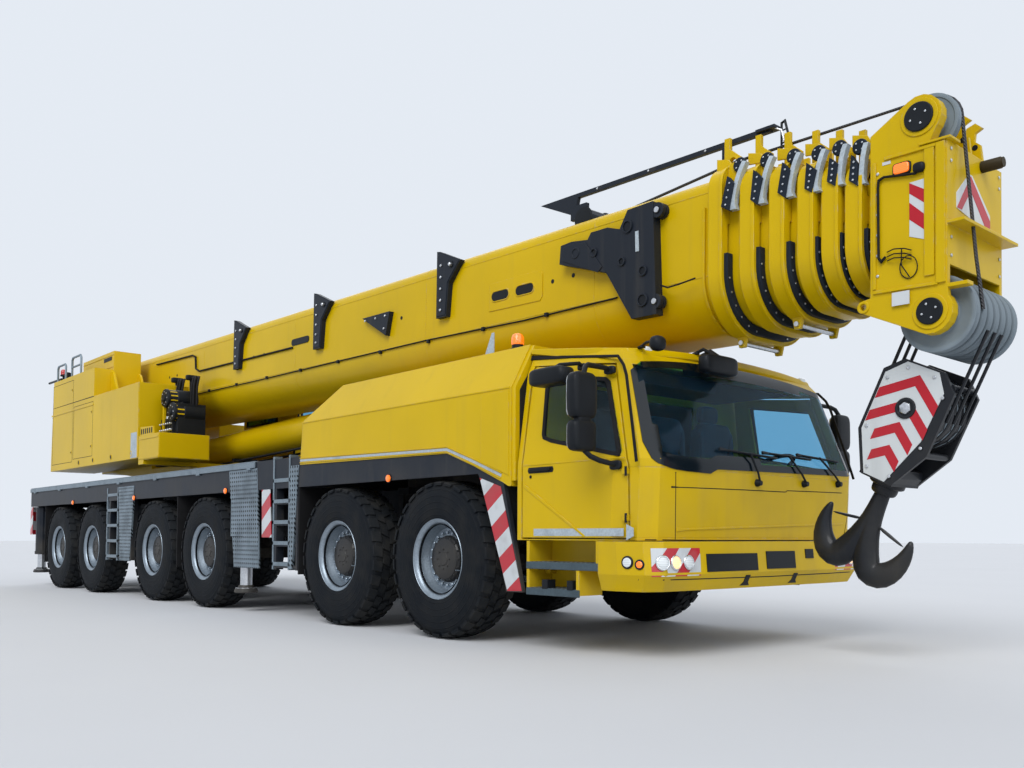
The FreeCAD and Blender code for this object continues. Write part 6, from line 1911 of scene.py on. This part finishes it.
class CRANE_OT_hook(bpy.types.Operator):
    """Hook block's striped plate, covers and sheaves, and the rounded double hook"""
    bl_idname = "crane.hook"
    bl_label = "Hook block"

    def execute(self, context):
        body = "hook_block"
        plate, bars, black, steel, discs = [Form(HANGER) for _ in range(5)]
        shape = [(-120, -352), (118, -352), (206, -470), (196, -820), (70, -1170), (-96, -1170),
                 (-244, -890), (-244, -470)]
        for side in (-1, 1):
            y = side * 200
            plate.prism("XZ", shape, *sorted((y, y + side * 5)))
            # red bars that point up the block's own long axis
            for k in range(4):
                top = -560 - 170 * k
                for flank in (-1, 1):
                    reach = (204 if flank > 0 else 240) if k < 2 else (150 if k == 2 else 110)
                    drop = reach * 0.72
                    bars.prism("XZ", [(0, top + 150), (flank * reach, top + 150 - drop),
                                      (flank * reach, top + 70 - drop), (0, top + 70)],
                               *sorted((y + side * 4, y + side * 6.5)))
            black.turned("Y", (0, y, -650), [(side * 3, 74), (side * 16, 72), (side * 16, 52),
                                             (side * 8, 50)], 36)
            steel.turned("Y", (0, y, -650), [(side * 5, 44), (side * 20, 42), (side * 24, 30)], 6)
            for x, z in ((-100, -390), (100, -390), (-212, -500), (212, -500), (-90, -1120),
                         (90, -1120), (-214, -860), (214, -860)):
                steel.bolts([(x, y + side * 4, z)], "Y", 13, side * 11)
        # rounded covers between the cheeks, and rollers that keep the ropes in
        for i in range(4):
            y = -190 + i * 110
            black.turned("Y", (0, y, -650), [(0, 236), (4, 262), (26, 268), (48, 262), (52, 236)],
                         40)
        for x, z in ((-225, -420), (225, -420), (-236, -900), (236, -900)):
            black.turned("Y", (x, -168, z), [(0, 20), (0, 24), (336, 24), (336, 20)], 16)
        black.prism("XZ", [(-128, -1060), (128, -1060), (150, -1110), (120, -1184), (-120, -1184),
                           (-150, -1110)], -196, 196)
        black.turned("Z", (0, 0, -1176), [(0, 118), (-8, 126), (-34, 126), (-44, 112)], 40)
        for i in range(3):
            y = -150 + i * 110
            discs.turned("Y", (0, y, -650), [
                (0, 60), (0, 236), (4, 256), (12, 254), (30, 238), (40, 235), (50, 238), (68, 254),
                (76, 256), (80, 236), (80, 60)], 48)
        plate.done("block_plates", body, "reflector_white", "trim", 1)
        bars.done("block_stripes", body, "stripe_red", "trim")
        black.done("block_covers", body, "hook", "black", 4)
        steel.done("block_bolts", body, "bright", "steel", 1)
        discs.done("block_sheaves", body, "sheave", "sheave")
        # the double hook: a section that swells at the bowl, carried along each horn
        hook = Form(HANGER)
        for side in (-1, 1):
            spine = [(0, -1200, 52, 52), (0, -1330, 60, 58), (side * 8, -1480, 66, 60),
                     (side * 30, -1620, 84, 62), (side * 70, -1760, 108, 66),
                     (side * 140, -1850, 112, 66), (side * 220, -1842, 104, 62),
                     (side * 290, -1780, 88, 56), (side * 332, -1690, 68, 48),
                     (side * 346, -1600, 46, 38), (side * 340, -1530, 26, 24),
                     (side * 334, -1500, 12, 12)]
            rings = []
            for i, (x, z, deep, wide) in enumerate(spine):
                before = spine[max(i - 1, 0)]
                after = spine[min(i + 1, len(spine) - 1)]
                along = Vector((after[0] - before[0], 0, after[1] - before[1])).normalized()
                out = Vector((along.z, 0, -along.x))
                rings.append(hook.ring([Vector((x, 0, z)) + out * deep * math.cos(t)
                                        + Vector((0, wide, 0)) * math.sin(t)
                                        for t in turn_of(20)]))
            hook.skin(rings)
            # spring latch
            hook.prism("XZ", [(side * 50, -1500), (side * 70, -1500), (side * 330, -1560),
                              (side * 326, -1580), (side * 60, -1530)], -22, 22)
        hook.turned("Z", (0, 0, -1200), [(30, 60), (10, 92), (-60, 96), (-84, 84), (-92, 60)], 32)
        made = hook.done("double_hook", "hook", "hook", "black", 0, ("hook",))
        smooth = made.modifiers.new("Smooth", "SUBSURF")
        smooth.levels = smooth.render_levels = 1
        return {"FINISHED"}


class CRANE_OT_cylinder(bpy.types.Operator):
    """Lift cylinder's gland, feed pipes and eye covers"""
    bl_idname = "crane.cylinder"
    bl_label = "Lift cylinder"

    def execute(self, context):
        skin, dark, lines, steel = [Form(CYLINDER) for _ in range(4)]
        far = max((CYLINDER.inverted() @ Vector(corner.co[:])).x
                  for corner in frame["nodes"]["lift_cylinder"].data.vertices)
        skin.turned("X", (0, 0, 0), [(150, 200), (170, 222), (far - 120, 222), (far - 110, 232),
                                     (far - 10, 232), (far, 226), (far, 150)], 48)
        steel.bolt_circle("X", (far, 0, 0), 188, turn_of(12), 13, 10)
        for y in (-150, 150):
            lines.pipe([(260, y, -212), (320, y, -248), (far - 260, y, -248),
                        (far - 190, y * 0.9, -226)], 17, 10)
        for x in (600, 1500, far - 700):
            dark.block(x, x + 60, -190, 190, -262, -206)
        dark.turned("X", (130, 0, 0), [(0, 206), (40, 228), (70, 228), (80, 222)], 40)
        dark.block(200, 420, -120, 120, -292, -216)
        for side in (-1, 1):
            dark.turned("Y", (0, side * 224, 0), [(0, 150), (side * 6, 146), (side * 6, 84),
                                                   (0, 82)], 32, False)
            steel.turned("Y", (0, side * 276, 0), [(0, 100), (side * 12, 96), (side * 12, 20)], 32)
        skin.done("lift_barrel", "lift_cylinder", "yellow", "yellow", 3)
        dark.done("lift_fittings", "lift_cylinder", "black", "trim", 3)
        lines.done("lift_pipes", "lift_cylinder", "black", "trim")
        steel.done("lift_bolts", "lift_cylinder", "bright", "steel")
        return {"FINISHED"}


class CRANE_OT_rear(bpy.types.Operator):
    """Rear lamps, blank plate, outrigger ends and their striped plates"""
    bl_idname = "crane.rear"
    bl_label = "Rear and outriggers"

    def execute(self, context):
        dark, red, amber, clear, steel, white = [Form() for _ in range(6)]
        bars = Form()
        for side in (-1, 1):
            dark.block(-12262, -12248, *span(side, 1440, 900), 1470, 1640)
            for i, form in enumerate((red, amber, clear, red)):
                y = side * (1376 - 134 * i)
                form.turned("X", (-12262, y, 1556), [(0, 56), (-10, 55), (-16, 44), (-20, 22)], 28)
            white.block(-12256, -12249, *span(side, 860, 480), 1470, 1640)
            for k in range(3):
                y = side * (500 + 120 * k)
                bars.prism("YZ", [(y, 1472), (y + side * 60, 1472), (y + side * 130, 1638),
                                  (y + side * 70, 1638)], -12258, -12255)
        dark.block(-12256, -12249, -270, 270, 1480, 1600)
        marks = Form()
        for side in (-1, 1):
            marks.block(-12236, -12110, *span(side, 1489, 1497), 900, 1400)
            marks.block(-12249, -12240, *span(side, 1489, 1350), 900, 1400)
        marks.done("rear_markers", "carrier", "stripe_side", "trim", 1)
        steel.pipe([(-12130, 0, 945), (-12210, 0, 940), (-12210, 0, 1180)], 20, 14)
        for y in (-300, 300):
            dark.turned("X", (-12150, y, 1260), [(0, 34), (-30, 34), (-40, 26)], 20)
        dark.done("rear_lamp_boxes", "carrier", "black", "trim", 4)
        red.done("rear_lamps", "carrier", "red_lens", "trim")
        amber.done("rear_turn_lamps", "carrier", "amber", "trim")
        clear.done("rear_clear_lamps", "carrier", "clear_lens", "trim")
        steel.done("towing_pin", "carrier", "bright", "steel")
        white.done("rear_plates", "carrier", "reflector_white", "trim", 1)
        bars.done("rear_stripes", "carrier", "stripe_red", "trim")
        for end in ("front", "rear"):
            for label, side in SIDES:
                name = "outrigger_beam_%s_%s" % (end, label)
                low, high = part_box(name)
                x = (low.x + high.x) * 500
                foot = "outrigger_jack_%s_%s" % (end, label)
                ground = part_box(foot)[0].z * 1000
                ring, pad = Form(MILLIMETRES), Form(MILLIMETRES)
                y = side * 1365
                ring.turned("Z", (x, y, 556), [(0, 112), (-10, 118), (30, 122), (44, 122),
                                               (50, 114)], 32)
                ring.turned("Z", (x, y, 1384), [(0, 104), (10, 100), (16, 60)], 32)
                ring.bolt_circle("Z", (x, y, 1386), 80, quarters(45), 11, 10)
                ring.done("jack_rings_%s_%s" % (end, label), name, "lower", "black", 2)
                pad.turned("Z", (x, y, ground), [(0, 128), (8, 138), (20, 138), (56, 124),
                                                        (64, 96), (90, 84)], 36)
                pad.done("jack_pad_%s_%s" % (end, label), foot, "lower", "black", 2)
        return {"FINISHED"}


PIECES = [CRANE_OT_stage, CRANE_OT_finishes, CRANE_OT_wheels, CRANE_OT_carrier, CRANE_OT_hood,
          CRANE_OT_cab, CRANE_OT_doors, CRANE_OT_bumper, CRANE_OT_interior,
          CRANE_OT_upper_works, CRANE_OT_valve_block, CRANE_OT_operator_cab, CRANE_OT_boom,
          CRANE_OT_collars, CRANE_OT_head, CRANE_OT_hook, CRANE_OT_cylinder, CRANE_OT_rear]


class CRANE_PT_panel(bpy.types.Panel):
    """Rebuild the crane's looks group by group"""
    bl_label = "Mobile Crane"
    bl_idname = "CRANE_PT_panel"
    bl_space_type = "VIEW_3D"
    bl_region_type = "UI"
    bl_category = "Crane"

    def draw(self, context):
        for group in (context.scene.crane_paint, context.scene.crane_sizes):
            for name in group.bl_rna.properties.keys():
                if name not in ("rna_type", "name"):
                    self.layout.prop(group, name)
        for piece in PIECES:
            self.layout.operator(piece.bl_idname)


CLASSES = [CranePaint, CraneSizes] + PIECES + [CRANE_PT_panel]


def register():
    for cls in CLASSES:
        bpy.utils.register_class(cls)
    bpy.types.Scene.crane_paint = bpy.props.PointerProperty(type=CranePaint)
    bpy.types.Scene.crane_sizes = bpy.props.PointerProperty(type=CraneSizes)


def unregister():
    del bpy.types.Scene.crane_sizes
    del bpy.types.Scene.crane_paint
    for cls in reversed(CLASSES):
        bpy.utils.unregister_class(cls)


def main():
    register()
    for piece in PIECES:
        group, name = piece.bl_idname.split(".")
        getattr(getattr(bpy.ops, group), name)()


if __name__ == "__main__":
    main()
